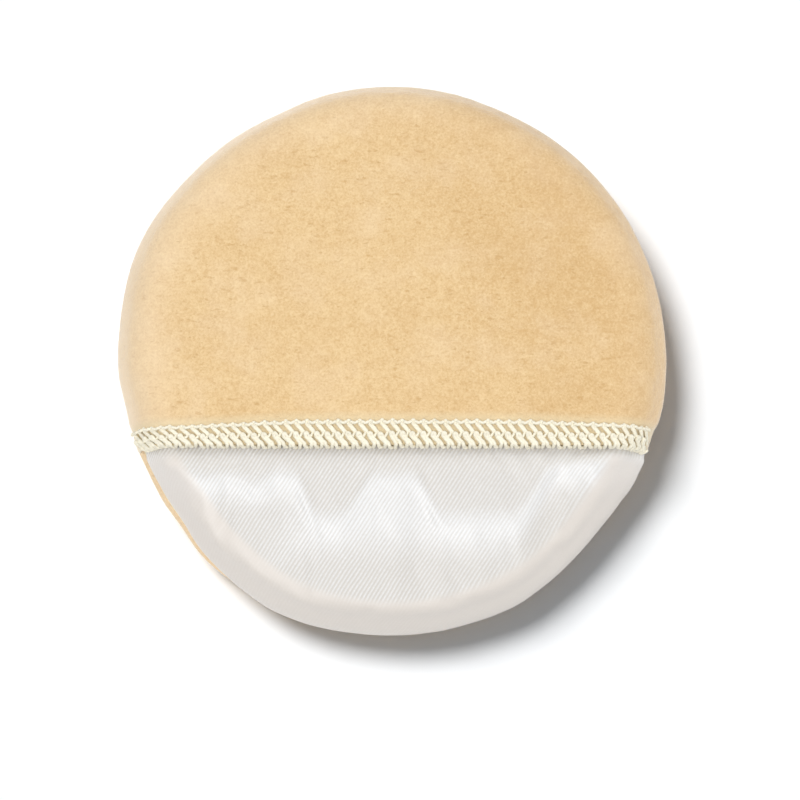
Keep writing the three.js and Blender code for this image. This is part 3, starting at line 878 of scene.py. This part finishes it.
def make_front(sizes):
    """Velour of the powdering face: from the foam's face out to the seam, over a rounded lip and back under.

    The inner rounds lie on the foam, the lip is half an ellipse across the cloth's edge, and the outer rounds
    follow the outline at the cloth's thickness, thinner where the seam has rolled under.
    """
    outline = PadOutline(sizes)
    turn = even_turns(FACE_TURNS)
    tuck = outline.tuck(turn)
    seam = outline.seam_walk(turn) + SEAM_HALF_GAP
    lip_start = seam + LIP_REACH
    middle = outline.ends[4]
    share = np.linspace(0, 1, FACE_INNER)[:, None]
    south = smooth(outline.mouth_sine - 0.08, outline.mouth_sine + 0.03, -np.sin(turn))
    lower = 0.3 + 1.0 * smooth(-0.35, 0.35, np.cos(turn))
    proud = outline.front_outer - (lower * south + 0.3 * tuck) * MM
    inner_walk = middle - POLE + share * (lip_start - middle + POLE)
    inner = outline.skin(inner_walk, turn[None, :], outline.front_inner)
    over = np.linspace(0, math.pi, FACE_LIP + 2)[1:-1, None]
    half = (proud - outline.front_inner) / 2
    lip_walk = lip_start - MM * np.sin(over)
    lip = outline.skin(lip_walk, turn[None, :], outline.front_inner + half * (1 - np.cos(over)))
    outer_share = np.linspace(0, 1, FACE_OUTER)[:, None]
    outer_walk = lip_start + outer_share * (middle - POLE - lip_start)
    full = smooth(0, 7 * MM, outer_walk - seam)
    offset = proud + (outline.front_outer - proud) * full
    plain = outline.skin(outer_walk, turn[None, :], offset)
    pile = pile_height(plain) * smooth(1.5 * MM, 4 * MM, plain[..., 2])
    outer = outline.skin(outer_walk, turn[None, :], offset + pile)
    rounds = hand_cut(np.concatenate([inner, lip, outer]), outline)
    top = outline.skin(np.array([middle]), 0.0, outline.front_inner)[0]
    foot = outline.skin(np.array([middle]), 0.0, outline.front_outer)[0]
    piece = closed_rounds("velour_face", top, rounds, foot)
    points = points_of(piece)
    below = (sizes.mouth_y - points[:, 1]) / MM
    # Painted sheen round the rim, weaker below the mouth where the tucked strip lies in shade
    painted_sheen = rim_sheen_share(points[:, 0], points[:, 1]) * (1 - 0.55 * smooth(-4, 2, below))
    note(piece, "rim", bell(points[:, 2], 8.0 * MM, 4.0 * MM) * painted_sheen)
    note(piece, "pressed", np.zeros(len(points)))
    return piece


def pile_height(points):
    """Unevenness of the pile, broad strokes where the brush laid it and tufts: random lumps of three sizes."""
    x, y, z = points[..., 0] / MM, points[..., 1] / MM, points[..., 2] / MM
    broad = 0.10 * lumps(x, y + 0.7 * z, 8.0, 11)
    middling = 0.06 * lumps(x * 0.7, y + 0.9 * z, 2.6, 12)
    tufts = 0.05 * lumps(x * 0.8, y + 0.9 * z, 1.15, 13)
    return (broad + middling + tufts) * MM


# The panel: points of its edge along the rim and the mouth, places at which the mouth's line is worked out,
# and the place on the unrolled cloth that its rounds shrink to
PANEL_RIM = 330
PANEL_MOUTH = 200
PANEL_PLACES = 6001
PANEL_MIDDLE = np.array([0.0, 15 * MM])
# Its rounds: distances in from the edge in millimetres, close ones outside and wider ones inside, and how
# many more follow them to the middle
PANEL_CLOSE = np.concatenate([[0, 0.06, 0.16, 0.3, 0.5, 0.75, 1.05], np.arange(1.4, 13.0, 0.4)])
PANEL_WIDE = np.concatenate([[0, 0.2, 0.5, 1.0, 1.8], np.arange(2.8, 13.0, 0.9)])
PANEL_OUTER = 60
PANEL_INNER = 18


def panel_edge(sizes, outline):
    """The panel's edge on the unrolled cloth, once round: the rim from right to left, then the mouth back.

    On the unrolled cloth a place is its walk times the direction of its turn. Along the mouth the walk is the
    one at which the pressed layer crosses the plane of the cut edge.
    """
    middle = (outline.pressed_inner + outline.pressed_outer) / 2
    corner = math.asin(-sizes.mouth_y / (outline.stretch * (outline.radius + middle)))
    rim_turn = np.linspace(-corner, math.pi + corner, PANEL_RIM, endpoint=False)
    rim_walk = np.full(PANEL_RIM, outline.widest - SEAM_HALF_GAP)
    steps = np.linspace(0, outline.widest, PANEL_PLACES)
    radius, _, out, _ = outline.along(steps)
    half_mouth = (outline.radius + middle) * math.cos(corner)
    x = np.linspace(-half_mouth, half_mouth, PANEL_PLACES)
    crossing = np.interp(np.hypot(x, sizes.mouth_y / outline.stretch), radius + out * middle, steps)
    turn = np.arctan2(np.full_like(x, sizes.mouth_y / outline.stretch), x) % (2 * math.pi)
    line = np.stack([crossing * np.cos(turn), crossing * np.sin(turn)], axis=1)
    run = run_along(line)
    wanted = np.linspace(0, run[-1], PANEL_MOUTH, endpoint=False)
    mouth = np.stack([np.interp(wanted, run, line[:, 0]), np.interp(wanted, run, line[:, 1])], axis=1)
    rim = np.stack([rim_walk * np.cos(rim_turn), rim_walk * np.sin(rim_turn)], axis=1)
    return np.concatenate([rim, mouth])


def seam_narrowing(x):
    """How wide the overlock is sewn, as a share of the needle line's distance: narrower towards both ends."""
    return 0.92 - 0.24 * smooth(12 * MM, 46 * MM, -x) - 0.14 * smooth(20 * MM, 46 * MM, x)


def panel_layers(sizes, outline, spots):
    """The panel's two offsets at places on the unrolled cloth, with how pressed it is and how strong its
    painted rim sheen is.

    The cloth has its full height away from its edges. It dips to the pressed band in front of the needle
    line, and both faces close on each other along a quarter ellipse at the rim and at the cut edge.
    """
    walk = np.hypot(spots[..., 0], spots[..., 1])
    turn = np.arctan2(spots[..., 1], spots[..., 0])
    middle = (outline.pressed_inner + outline.pressed_outer) / 2
    level = outline.skin(walk, turn, middle)
    behind = (level[..., 1] - sizes.mouth_y) / MM
    from_rim = (outline.widest - SEAM_HALF_GAP - walk) / MM
    loose = smooth(4.4, 6.8, behind + 4.3 * (1 - seam_narrowing(spots[..., 0])))
    plump = 0.1 * bell(behind, 8.0, 3.0) * MM
    outer = outline.pressed_outer + (outline.panel_outer - outline.pressed_outer + plump) * loose
    inner = outline.pressed_inner + (outline.panel_inner - outline.pressed_inner) * loose
    outer = outer + pile_height(level) * loose * smooth(0.5, 3.0, from_rim)
    lip = np.clip(1 - from_rim / 2.4, 0, 1)
    cut = np.clip(1 - behind / 0.5, 0, 1)
    closing = 1 - np.sqrt(np.clip(1 - lip**2, 0, 1)) * np.sqrt(np.clip(1 - cut**2, 0, 1))
    half = (outer - inner) / 2
    # Painted sheen round the panel's rim
    rim = bell(from_rim, 0, 7.4) * rim_sheen_share(spots[..., 0], spots[..., 1])
    return walk, turn, outer - half * closing, inner + half * closing * cut, 1 - loose, rim


def make_panel(sizes):
    """Velour panel of the pocket: rounds that shrink from its edge to one place on the unrolled cloth.

    A round is the edge drawn in towards the middle, by fixed steps near the edge and by shares further in.
    The outer rounds and the inner ones meet at the edge, which makes one closed sheet.
    """
    outline = PadOutline(sizes)
    edge = panel_edge(sizes, outline)
    arm = edge - PANEL_MIDDLE
    reach = np.linalg.norm(arm, axis=1)
    outer_far = np.linspace(0, 1, PANEL_OUTER + 2)[1:-1, None]
    inner_far = np.linspace(0, 1, PANEL_INNER + 2)[1:-1, None]
    near_edge = reach[None, :] - PANEL_CLOSE[:, None] * MM
    outer_reach = np.concatenate([outer_far * near_edge[-1:], near_edge[::-1]])
    inner_edge = reach[None, :] - PANEL_WIDE[1:, None] * MM
    inner_reach = np.concatenate([inner_edge, (inner_far * inner_edge[-1:])[::-1]])
    outer_spots = PANEL_MIDDLE + (outer_reach / reach)[..., None] * arm
    inner_spots = PANEL_MIDDLE + (inner_reach / reach)[..., None] * arm
    walk, turn, outer, _, pressed, rim = panel_layers(sizes, outline, outer_spots)
    outer_rounds = outline.skin(walk, turn, outer)
    in_walk, in_turn, _, inner, in_pressed, in_rim_sheen = panel_layers(sizes, outline, inner_spots)
    inner_rounds = outline.skin(in_walk, in_turn, inner)
    rounds = hand_cut(np.concatenate([outer_rounds, inner_rounds]), outline)
    walk, turn, outer, inner, _, _ = panel_layers(sizes, outline, PANEL_MIDDLE[None, :])
    ends = outline.skin(np.repeat(walk, 2), np.repeat(turn, 2), np.array([outer[0], inner[0]]))
    piece = closed_rounds("velour_pocket", ends[0], rounds, ends[1])
    note(piece, "pressed", np.concatenate([[0], pressed.ravel(), in_pressed.ravel(), [0]]))
    # Painted rim sheen for the velour's material
    note(piece, "rim", np.concatenate([[0], rim.ravel(), in_rim_sheen.ravel(), [0]]))
    return piece


def lift_share(points, sizes):
    """How far a place follows the lifted mouth: 0 where it is sewn to the rim, 1 at the mouth's middle."""
    outline = PadOutline(sizes)
    from_axis = np.hypot(points[:, 0], points[:, 1] / outline.stretch) / outline.radius
    mouth = -sizes.mouth_y / outline.stretch / outline.radius
    free = np.clip(1 - from_axis**2, 0, 1) / (1 - mouth**2)
    height = smooth(outline.low[1], outline.low[1] + 6 * MM, points[:, 2])
    return np.clip(free, 0, 1) * height


def bend_with_mouth(piece, sizes):
    """Sews the piece to the puff's body at the rim and lets it follow the panel towards the mouth."""
    hinge = frame["joints"][0]["pos_m"]
    mouth = (0.0, sizes.mouth_y, hinge[2])
    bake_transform(piece, BODY, POCKET, start=hinge, end=mouth)
    note(piece, "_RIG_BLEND", lift_share(points_of(piece), sizes))


# Working out the band: angles at which its length is summed, halvings that find a crossing, length of the
# rays from the spine, and how far to both sides of the face an offset is looked for
BAND_ANGLES = 2401
BAND_HALVINGS = 44
BAND_RAY = 0.12
BAND_ROOM = 6 * MM


class MouthBand:
    """Places on the mouth's pressed band: stitch number, distance from the needle line and offset."""

    def __init__(self, sizes):
        self.outline = PadOutline(sizes)
        self.needle_y = sizes.mouth_y + sizes.needle_line
        self.pitch = sizes.stitch_pitch
        self.angles = np.linspace(math.pi, 0, BAND_ANGLES)
        self.run = run_along(self.foot(self.angles, np.full(BAND_ANGLES, self.needle_y)))
        self.count = int((self.run[-1] - 2 * sizes.end_margin) / self.pitch) - 1
        self.first = (self.run[-1] - self.count * self.pitch) / 2

    def crossing(self, start, direction, offset, near, far):
        """Halves the span from near to far on every line until it holds where the layer is crossed."""
        near = np.broadcast_to(near, start.shape[:1]).astype(float)
        far = np.broadcast_to(far, start.shape[:1]).astype(float)
        for _ in range(BAND_HALVINGS):
            middle = (near + far) / 2
            place = start + direction * middle[:, None]
            radius = np.hypot(place[:, 0], place[:, 1] / self.outline.stretch)
            inside = self.outline.distance(radius, place[:, 2]) < offset
            near, far = np.where(inside, middle, near), np.where(inside, far, middle)
        return start + direction * near[:, None]

    def foot(self, angle, y):
        """Where a ray from the spine at the seam's height crosses the band's face, in the plane of that y."""
        spine = np.stack([np.zeros_like(y), y, np.full_like(y, self.outline.low[1])], axis=1)
        ray = np.stack([np.cos(angle), np.zeros_like(y), np.sin(angle)], axis=1)
        return self.crossing(spine, ray, self.outline.pressed_outer, 0.0, BAND_RAY)

    def place(self, stitch, across, offset):
        """Points of the band and the ways out of its cloth, with the offset taken square to the cloth."""
        y = self.needle_y - across
        angle = np.interp(self.first + stitch * self.pitch, self.run, self.angles)
        foot = self.foot(angle, y)
        radius = np.hypot(foot[:, 0], y / self.outline.stretch)
        step = 0.01 * MM
        distance = self.outline.distance
        slope_r = distance(radius + step, foot[:, 2]) - distance(radius - step, foot[:, 2])
        slope_z = distance(radius, foot[:, 2] + step) - distance(radius, foot[:, 2] - step)
        out = np.stack([slope_r * foot[:, 0] / radius, np.zeros_like(y), slope_z], axis=1)
        out /= np.linalg.norm(out, axis=1, keepdims=True)
        return self.crossing(foot, out, offset, -BAND_ROOM, BAND_ROOM), out


def flowing(knots, steps):
    """A smooth line through knots: cubics that leave and meet each knot along its two neighbours."""
    before = np.concatenate([knots[:1], knots[:-1]])
    after = np.concatenate([knots[1:], knots[-1:]])
    slope = (after - before) / 2
    share = (np.arange(steps) / steps)[None, :, None]
    start, stop = knots[:-1, None], knots[1:, None]
    leave, meet = slope[:-1, None], slope[1:, None]
    line = (
        start * (1 - 3 * share**2 + 2 * share**3)
        + stop * (3 * share**2 - 2 * share**3)
        + leave * (share - 2 * share**2 + share**3)
        + meet * (share**3 - share**2)
    )
    return np.concatenate([line.reshape(-1, knots.shape[1]), knots[-1:]])


# A thread of two plies: sides, its fullest radius and the depth of its grooves as shares of the plain radius,
# length of a turn and of a step, and steps per knot
PLY_SIDES = 9
PLY_FULL = 1.08
PLY_GROOVE = 0.13
PLY_TWIST = 1.7 * MM
PLY_STEP = 0.13 * MM
KNOT_STEPS = 8


def evenly(path, values, step):
    """A path and its values again at even steps along it."""
    run = run_along(path)
    wanted = np.linspace(0, run[-1], int(run[-1] / step))
    columns = [np.interp(wanted, run, column) for column in np.concatenate([path, values], axis=1).T]
    even = np.stack(columns, axis=1)
    return even[:, :3], even[:, 3:]


def plied_rounds(path, outward, diameter):
    """Rounds of a thread of two plies along a path: a section with two grooves, turned as it runs."""
    along = np.gradient(path, axis=0)
    along /= np.linalg.norm(along, axis=1, keepdims=True)
    side = outward - np.sum(outward * along, axis=1, keepdims=True) * along
    side /= np.linalg.norm(side, axis=1, keepdims=True)
    over = np.cross(side, along)
    run = run_along(path)
    angle = 2 * math.pi * np.arange(PLY_SIDES) / PLY_SIDES
    twist = angle[None, :] + 2 * math.pi * run[:, None] / PLY_TWIST
    groove = (1 - np.cos(2 * angle)) / 2
    radius = diameter / 2 * (PLY_FULL - PLY_GROOVE * groove)
    turned = np.cos(twist)[..., None] * side[:, None] + np.sin(twist)[..., None] * over[:, None]
    rounds = path[:, None] + radius[None, :, None] * turned
    return rounds, np.broadcast_to(groove, rounds.shape[:2])


def make_thread(name, sizes, knots, diameter):
    """One overlock thread: knots of stitch, across, offset and the way out of the cloth, as a plied tube.

    Each knot's way out is a share across and a share square to the cloth, which keeps the tube from turning
    over where the thread goes round the cut edge.
    """
    band = MouthBand(sizes)
    line = flowing(knots, KNOT_STEPS)
    plain, _ = band.place(line[:, 0], line[:, 1], line[:, 2])
    across = sizes.needle_line + (line[:, 1] - sizes.needle_line) * seam_narrowing(plain[:, 0])
    path, out = band.place(line[:, 0], across, line[:, 2])
    outward = line[:, 4:5] * out + line[:, 3:4] * np.array([0.0, -1.0, 0.0])
    path, outward = evenly(path, outward, PLY_STEP)
    rounds, groove = plied_rounds(path, outward, diameter)
    rounds = hand_cut(rounds, band.outline)
    ends = hand_cut(path[[0, -1]], band.outline)
    piece = closed_rounds(name, ends[0], rounds, ends[1])
    # Groove mask, which the thread's material darkens as painted shade
    note(piece, "groove", np.concatenate([[0], groove.ravel(), [0]]))
    return piece


# Ways out of the cloth for a thread on it: a share towards the mouth and a share up from the face
ON_FACE = (0.0, 1.0)
UNDER = (0.0, -1.0)
AT_EDGE = (1.0, 0.0)
ROUND_EDGE = (0.7, 0.7)
BELOW_EDGE = (0.7, -0.7)
# The overlock in stitches: lean of the upper looper's legs, how far on the lower looper starts, and
# unevenness of the stitches along the seam and, in millimetres, across it
LOOP_LEAN = 0.86
HOOK_START = 1.0
STITCH_UNEVEN = np.array([0.045, 0.07])


def stitched(shape, first, last, uneven):
    """Knots of a thread: one stitch's knots repeated along the band, each stitch a little off its place."""
    number = np.arange(first, last)
    shape = np.array(shape)
    knots = np.repeat(shape[None, :, :], len(number), axis=0)
    knots[:, :, 0] += number[:, None] + uneven[number % len(uneven), None, 0]
    knots[:, :, 1] += uneven[number % len(uneven), None, 1] * MM
    return knots.reshape(-1, shape.shape[1])


def make_mouth_threads(sizes):
    """The overlock's threads: needle along its line, upper looper up to it, lower looper to the edge."""
    band = MouthBand(sizes)
    outline = band.outline
    thin, fluffy = sizes.looper_thread, sizes.bulked_thread
    purl = sizes.purl_line
    lying = outline.pressed_outer + 0.05 * MM + thin / 2
    above = lying + thin * 0.6
    fluffy_up = lying + thin * 0.55
    fluffy_on = outline.pressed_outer + 0.03 * MM + fluffy / 2
    middle = (outline.pressed_inner + outline.pressed_outer) / 2
    beneath = outline.pressed_inner - 0.05 * MM - thin / 2
    edge = sizes.needle_line
    off_edge = edge + 0.05 * MM + fluffy / 2
    uneven = np.random.default_rng(21).normal(0, 1, (band.count, 2)) * STITCH_UNEVEN

    needle = [
        (-0.42, 0.14 * MM, above, *AT_EDGE),
        (-0.22, -0.08 * MM, above, *AT_EDGE),
        (-0.13, -0.12 * MM, middle, *AT_EDGE),
        (-0.05, -0.12 * MM, beneath, *AT_EDGE),
        (0.05, -0.12 * MM, beneath, *AT_EDGE),
        (0.13, -0.12 * MM, middle, *AT_EDGE),
        (0.22, -0.08 * MM, above, *AT_EDGE),
        (0.42, 0.14 * MM, above, *AT_EDGE),
    ]
    needle_knots = stitched(needle, 1, band.count - 1, uneven * np.array([1, 0.5]))
    lean, step = LOOP_LEAN, HOOK_START
    sunk = lying - 0.1 * MM
    loop = [
        (lean - 0.32, purl - 0.45 * MM, sunk, *ON_FACE),
        (lean - 0.38, purl - 0.75 * MM, lying, *ON_FACE),
        (-0.09, 0.26 * MM, lying, *ON_FACE),
        (-0.12, -0.12 * MM, lying, *ON_FACE),
        (-0.01, -0.46 * MM, lying, *ON_FACE),
        (0.11, -0.26 * MM, lying, *ON_FACE),
        (0.13, 0.20 * MM, lying, *ON_FACE),
        (lean - 0.01, purl - 0.15 * MM, lying, *ON_FACE),
        (lean + 0.17, purl + 0.55 * MM, sunk, *ON_FACE),
        (lean + 0.34, purl + 0.62 * MM, sunk, *ON_FACE),
    ]
    upper_knots = stitched(loop, 1, band.count - 1, uneven)
    hook = [
        (step - 0.10, purl + 0.42 * MM, fluffy_on, *ON_FACE),
        (step - 0.19, purl - 0.08 * MM, fluffy_up, *ON_FACE),
        (step - 0.11, purl - 0.34 * MM, fluffy_up, *ON_FACE),
        (step + 0.03, purl - 0.20 * MM, fluffy_up, *ON_FACE),
        (step + 0.16, purl + 0.42 * MM, fluffy_on, *ON_FACE),
        (step + 0.66, edge - 0.30 * MM, fluffy_on, *ON_FACE),
        (step + 0.73, edge + 0.06 * MM, fluffy_on - 0.1 * MM, *ROUND_EDGE),
        (step + 0.83, off_edge, middle + 0.2 * MM, *AT_EDGE),
        (step + 0.97, off_edge, middle, *AT_EDGE),
        (step + 1.04, edge, beneath, *BELOW_EDGE),
        (step + 1.09, edge - 0.6 * MM, beneath, *UNDER),
        (step + 1.15, edge - 1.1 * MM, beneath, *UNDER),
        (step + 1.21, edge - 0.6 * MM, beneath, *UNDER),
        (step + 1.27, edge, beneath, *BELOW_EDGE),
        (step + 1.33, off_edge, middle, *AT_EDGE),
        (step + 1.38, edge + 0.06 * MM, fluffy_on - 0.1 * MM, *ROUND_EDGE),
        (step + 1.38, edge - 0.30 * MM, fluffy_on, *ON_FACE),
    ]
    lower_knots = stitched(hook, 0, band.count - 2, uneven)
    return [
        make_thread("needle_thread", sizes, needle_knots, thin),
        make_thread("upper_looper_thread", sizes, upper_knots, thin),
        make_thread("lower_looper_thread", sizes, lower_knots, fluffy),
    ]


# The rim seam's thread: points per stitch, how far past the seam line it lies and how far it dips
RIM_POINTS = 12
RIM_PAST = 0.26 * MM
RIM_DIP = 0.05 * MM


def make_rim_stitching(sizes):
    """Rim seam thread: a plied tube once round the seam line, dipping a little between its stitches."""
    outline = PadOutline(sizes)
    stitches = round(math.pi * sizes.puff_width / sizes.seam_stitch)
    turn = even_turns(stitches * RIM_POINTS)
    walk = outline.seam_walk(turn) + (RIM_PAST - RIM_DIP * np.cos(turn * stitches))
    offset = outline.satin_outer + sizes.layer_gap + sizes.seam_thread / 2
    path = outline.skin(walk, turn, offset)
    outward = outline.skin(walk, turn, offset + MM) - path
    path, outward = [np.concatenate([ring[-2:], ring, ring[:2]]) for ring in (path, outward)]
    rounds, groove = plied_rounds(path, outward, sizes.seam_thread)
    rounds = hand_cut(rounds[2:-2], outline)
    rows, columns = rounds.shape[:2]
    quads = round_quads(rows, columns, 0, joined=True)
    piece = put_mesh("rim_stitching", rounds.reshape(-1, 3), quads, np.zeros((0, 3), int))
    # Groove mask, which the thread's material darkens as painted shade
    note(piece, "groove", groove[2:-2])
    return piece


class PUFF_OT_foam_core(bpy.types.Operator):
    """Makes the foam core that gives the puff its thickness"""

    bl_idname = "puff.foam_core"
    bl_label = "Foam core"

    def execute(self, context):
        piece = make_foam(context.scene.puff_sizes)
        dress(piece, finish("foam_cells", foam_finish), "foam_pad")
        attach(piece, BODY)
        return {"FINISHED"}


class PUFF_OT_satin_back(bpy.types.Operator):
    """Makes the satin that covers the back and lines the pocket"""

    bl_idname = "puff.satin_back"
    bl_label = "Satin back"

    def execute(self, context):
        piece = make_satin(context.scene.puff_sizes)
        dress(piece, finish("satin_weave", satin_finish), "satin_back_cover")
        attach(piece, BODY)
        return {"FINISHED"}


class PUFF_OT_velour_face(bpy.types.Operator):
    """Makes the velour of the powdering face"""

    bl_idname = "puff.velour_face"
    bl_label = "Velour face"

    def execute(self, context):
        piece = make_front(context.scene.puff_sizes)
        dress(piece, finish("velour_pile", velour_finish), "front_velour_cover")
        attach(piece, BODY)
        return {"FINISHED"}


class PUFF_OT_mouth_threads(bpy.types.Operator):
    """Makes the three threads of the overlock along the pocket mouth"""

    bl_idname = "puff.mouth_threads"
    bl_label = "Mouth threads"

    def execute(self, context):
        sizes = context.scene.puff_sizes
        nodes = ("mouth_needle_thread", "mouth_upper_looper_thread", "mouth_lower_looper_thread")
        for piece, node in zip(make_mouth_threads(sizes), nodes):
            dress(piece, finish("cream_thread", thread_finish), node)
            bend_with_mouth(piece, sizes)
        return {"FINISHED"}


class PUFF_OT_velour_pocket(bpy.types.Operator):
    """Makes the velour panel of the finger pocket"""

    bl_idname = "puff.velour_pocket"
    bl_label = "Velour pocket"

    def execute(self, context):
        sizes = context.scene.puff_sizes
        piece = make_panel(sizes)
        dress(piece, finish("velour_pile", velour_finish), "velour_pocket_panel")
        bend_with_mouth(piece, sizes)
        return {"FINISHED"}


class PUFF_OT_rim_stitching(bpy.types.Operator):
    """Makes the thread of the rim seam"""

    bl_idname = "puff.rim_stitching"
    bl_label = "Rim stitching"

    def execute(self, context):
        piece = make_rim_stitching(context.scene.puff_sizes)
        dress(piece, finish("cream_thread", thread_finish), "rim_seam_thread")
        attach(piece, BODY)
        return {"FINISHED"}


# The camera: width of what it sees, its distance and rise, the place that it looks at and how far below that,
# and the width of its sensor in millimetres
FRAME_WIDTH = 145.4 * MM
CAMERA_AWAY = 0.7
CAMERA_RISE = math.radians(79)
LOOK_AT = (1.43 * MM, 1.4 * MM, 9.2 * MM)
LOOK_DOWN = 7.99 * MM
SENSOR_WIDTH = 36
# The table's half width, strength and tint of the world's light, and how far off the lamps stand
FLOOR_HALF = 30.0
WORLD_LIGHT = 0.21
WORLD_TINT = (0.88, 0.99, 1.11)
LAMP_AWAY = 1.1
# The table's light: energy, spread of its rays, angle round the puff and rise above the table
TABLE_ENERGY = 2.96
TABLE_SPREAD = math.radians(24)
TABLE_AROUND = 140
TABLE_RISE = 61
# Soft boxes on the puff: name, energy, size, angle round it, rise above the table, and if gloss shows it
SOFT_BOXES = (
    ("puff_front", 4.9, 0.5, 228, 70, True),
    ("puff_near", 3.1, 0.8, 300, 42, False),
    ("puff_far", 5.6, 0.8, 45, 44, False),
    ("puff_left", 3.2, 0.8, 168, 28, False),
)


def lamp(name, light, azimuth, rise, lights, gloss=True):
    """A lamp that looks at the puff from an angle round it and a rise above the table.

    It lights one group of objects, and the others still throw their shadow in its light.
    """
    made = bpy.data.objects.new(name, light)
    around, up = math.radians(azimuth), math.radians(rise)
    way = Vector((math.cos(around) * math.cos(up), math.sin(around) * math.cos(up), math.sin(up)))
    made.location = way * LAMP_AWAY
    made.rotation_mode = "QUATERNION"
    made.rotation_quaternion = way.to_track_quat("Z", "Y")
    group("studio").objects.link(made)
    made.light_linking.receiver_collection = group(lights)
    made.visible_glossy = gloss


def table_light():
    """Even light on the table from the far left, soft enough for the blurred edge of the puff's shadow."""
    light = bpy.data.lights.new("table_key", "SUN")
    light.energy = TABLE_ENERGY
    light.angle = TABLE_SPREAD
    lamp("table_key", light, TABLE_AROUND, TABLE_RISE, "studio")


def puff_light(name, energy, size, azimuth, rise, gloss):
    """A square soft box on the puff alone."""
    light = bpy.data.lights.new(name, "AREA")
    light.energy = energy
    light.size = size
    lamp(name, light, azimuth, rise, "puff", gloss)


def white_world():
    """Soft even light from all round, with plain white behind the table for what the camera and gloss see."""
    world = bpy.data.worlds.new("studio")
    world.use_nodes = True
    tree = world.node_tree
    tree.nodes.clear()
    sheet = Wire(tree)
    kinds = ("Is Camera Ray", "Is Glossy Ray", "Is Transmission Ray")
    camera, gloss, through = [sheet.node("ShaderNodeLightPath", {}, {}, kind) for kind in kinds]
    seen = sheet.node("ShaderNodeMath", {"operation": "MINIMUM"}, {0: camera + gloss + through, 1: 1.0})
    strength = WORLD_LIGHT + seen * (1.0 - WORLD_LIGHT)
    tint = blended(sheet, solid_colour(WORLD_TINT), (1.0, 1.0, 1.0, 1.0), seen)
    light = sheet.node("ShaderNodeBackground", {}, {"Color": tint, "Strength": strength})
    output = tree.nodes.new("ShaderNodeOutputWorld")
    tree.links.new(light.socket, output.inputs["Surface"])
    bpy.context.scene.world = world


def floor_finish(colours):
    """A plain white table top that keeps the puff's shadow."""
    material, sheet = new_material("white_table")
    sockets = {"Color": solid_colour(colours.floor), "Roughness": 0.0}
    return closed(material, sheet, "ShaderNodeBsdfDiffuse", sockets)


class PUFF_OT_stage(bpy.types.Operator):
    """Makes the table, the light and the camera at the photograph's angle"""

    bl_idname = "puff.stage"
    bl_label = "Stage"

    def execute(self, context):
        scene = context.scene
        half = FLOOR_HALF
        corners = np.array([[-half, -half, 0], [half, -half, 0], [half, half, 0], [-half, half, 0]])
        table = put_mesh("table", corners, np.array([[0, 1, 2, 3]]), np.zeros((0, 3), int), "studio")
        table.data.materials.append(floor_finish(scene.puff_colours))
        white_world()
        table_light()
        for box in SOFT_BOXES:
            puff_light(*box)
        camera = bpy.data.cameras.new("camera")
        camera.sensor_width = SENSOR_WIDTH
        camera.lens = SENSOR_WIDTH * CAMERA_AWAY / FRAME_WIDTH
        eye = bpy.data.objects.new("camera", camera)
        back = Vector((0, -math.cos(CAMERA_RISE), math.sin(CAMERA_RISE)))
        upward = Vector((0, math.sin(CAMERA_RISE), math.cos(CAMERA_RISE)))
        aim = Vector(LOOK_AT) - upward * LOOK_DOWN
        eye.location = aim + back * CAMERA_AWAY
        eye.rotation_mode = "QUATERNION"
        eye.rotation_quaternion = back.to_track_quat("Z", "Y")
        scene.collection.objects.link(eye)
        scene.camera = eye
        scene.view_settings.view_transform = "Standard"
        return {"FINISHED"}


class PUFF_PT_sidebar(bpy.types.Panel):
    """Lists the puff's sizes, colours and the steps that make it"""

    bl_idname = "PUFF_PT_sidebar"
    bl_label = "Powder puff"
    bl_space_type = "VIEW_3D"
    bl_region_type = "UI"
    bl_category = "Puff"

    def draw(self, context):
        layout = self.layout
        for settings in (context.scene.puff_sizes, context.scene.puff_colours):
            for name in settings.bl_rna.properties.keys():
                if name not in {"rna_type", "name"}:
                    layout.prop(settings, name)
        for step in STEPS:
            layout.operator(step.bl_idname)


STEPS = (
    PUFF_OT_stage,
    PUFF_OT_foam_core,
    PUFF_OT_satin_back,
    PUFF_OT_velour_face,
    PUFF_OT_mouth_threads,
    PUFF_OT_velour_pocket,
    PUFF_OT_rim_stitching,
)
CLASSES = (PuffSizes, PuffColours, *STEPS, PUFF_PT_sidebar)


def register():
    """Adds the puff's sizes, colours, steps and sidebar to Blender."""
    for kind in CLASSES:
        bpy.utils.register_class(kind)
    bpy.types.Scene.puff_sizes = bpy.props.PointerProperty(type=PuffSizes)
    bpy.types.Scene.puff_colours = bpy.props.PointerProperty(type=PuffColours)


def unregister():
    """Takes them out again."""
    del bpy.types.Scene.puff_colours
    del bpy.types.Scene.puff_sizes
    for kind in reversed(CLASSES):
        bpy.utils.unregister_class(kind)


def main():
    """Registers the add-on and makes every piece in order."""
    register()
    bpy.ops.puff.stage()
    bpy.ops.puff.foam_core()
    bpy.ops.puff.satin_back()
    bpy.ops.puff.velour_face()
    bpy.ops.puff.mouth_threads()
    bpy.ops.puff.velour_pocket()
    bpy.ops.puff.rim_stitching()


if __name__ == "__main__":
    main()
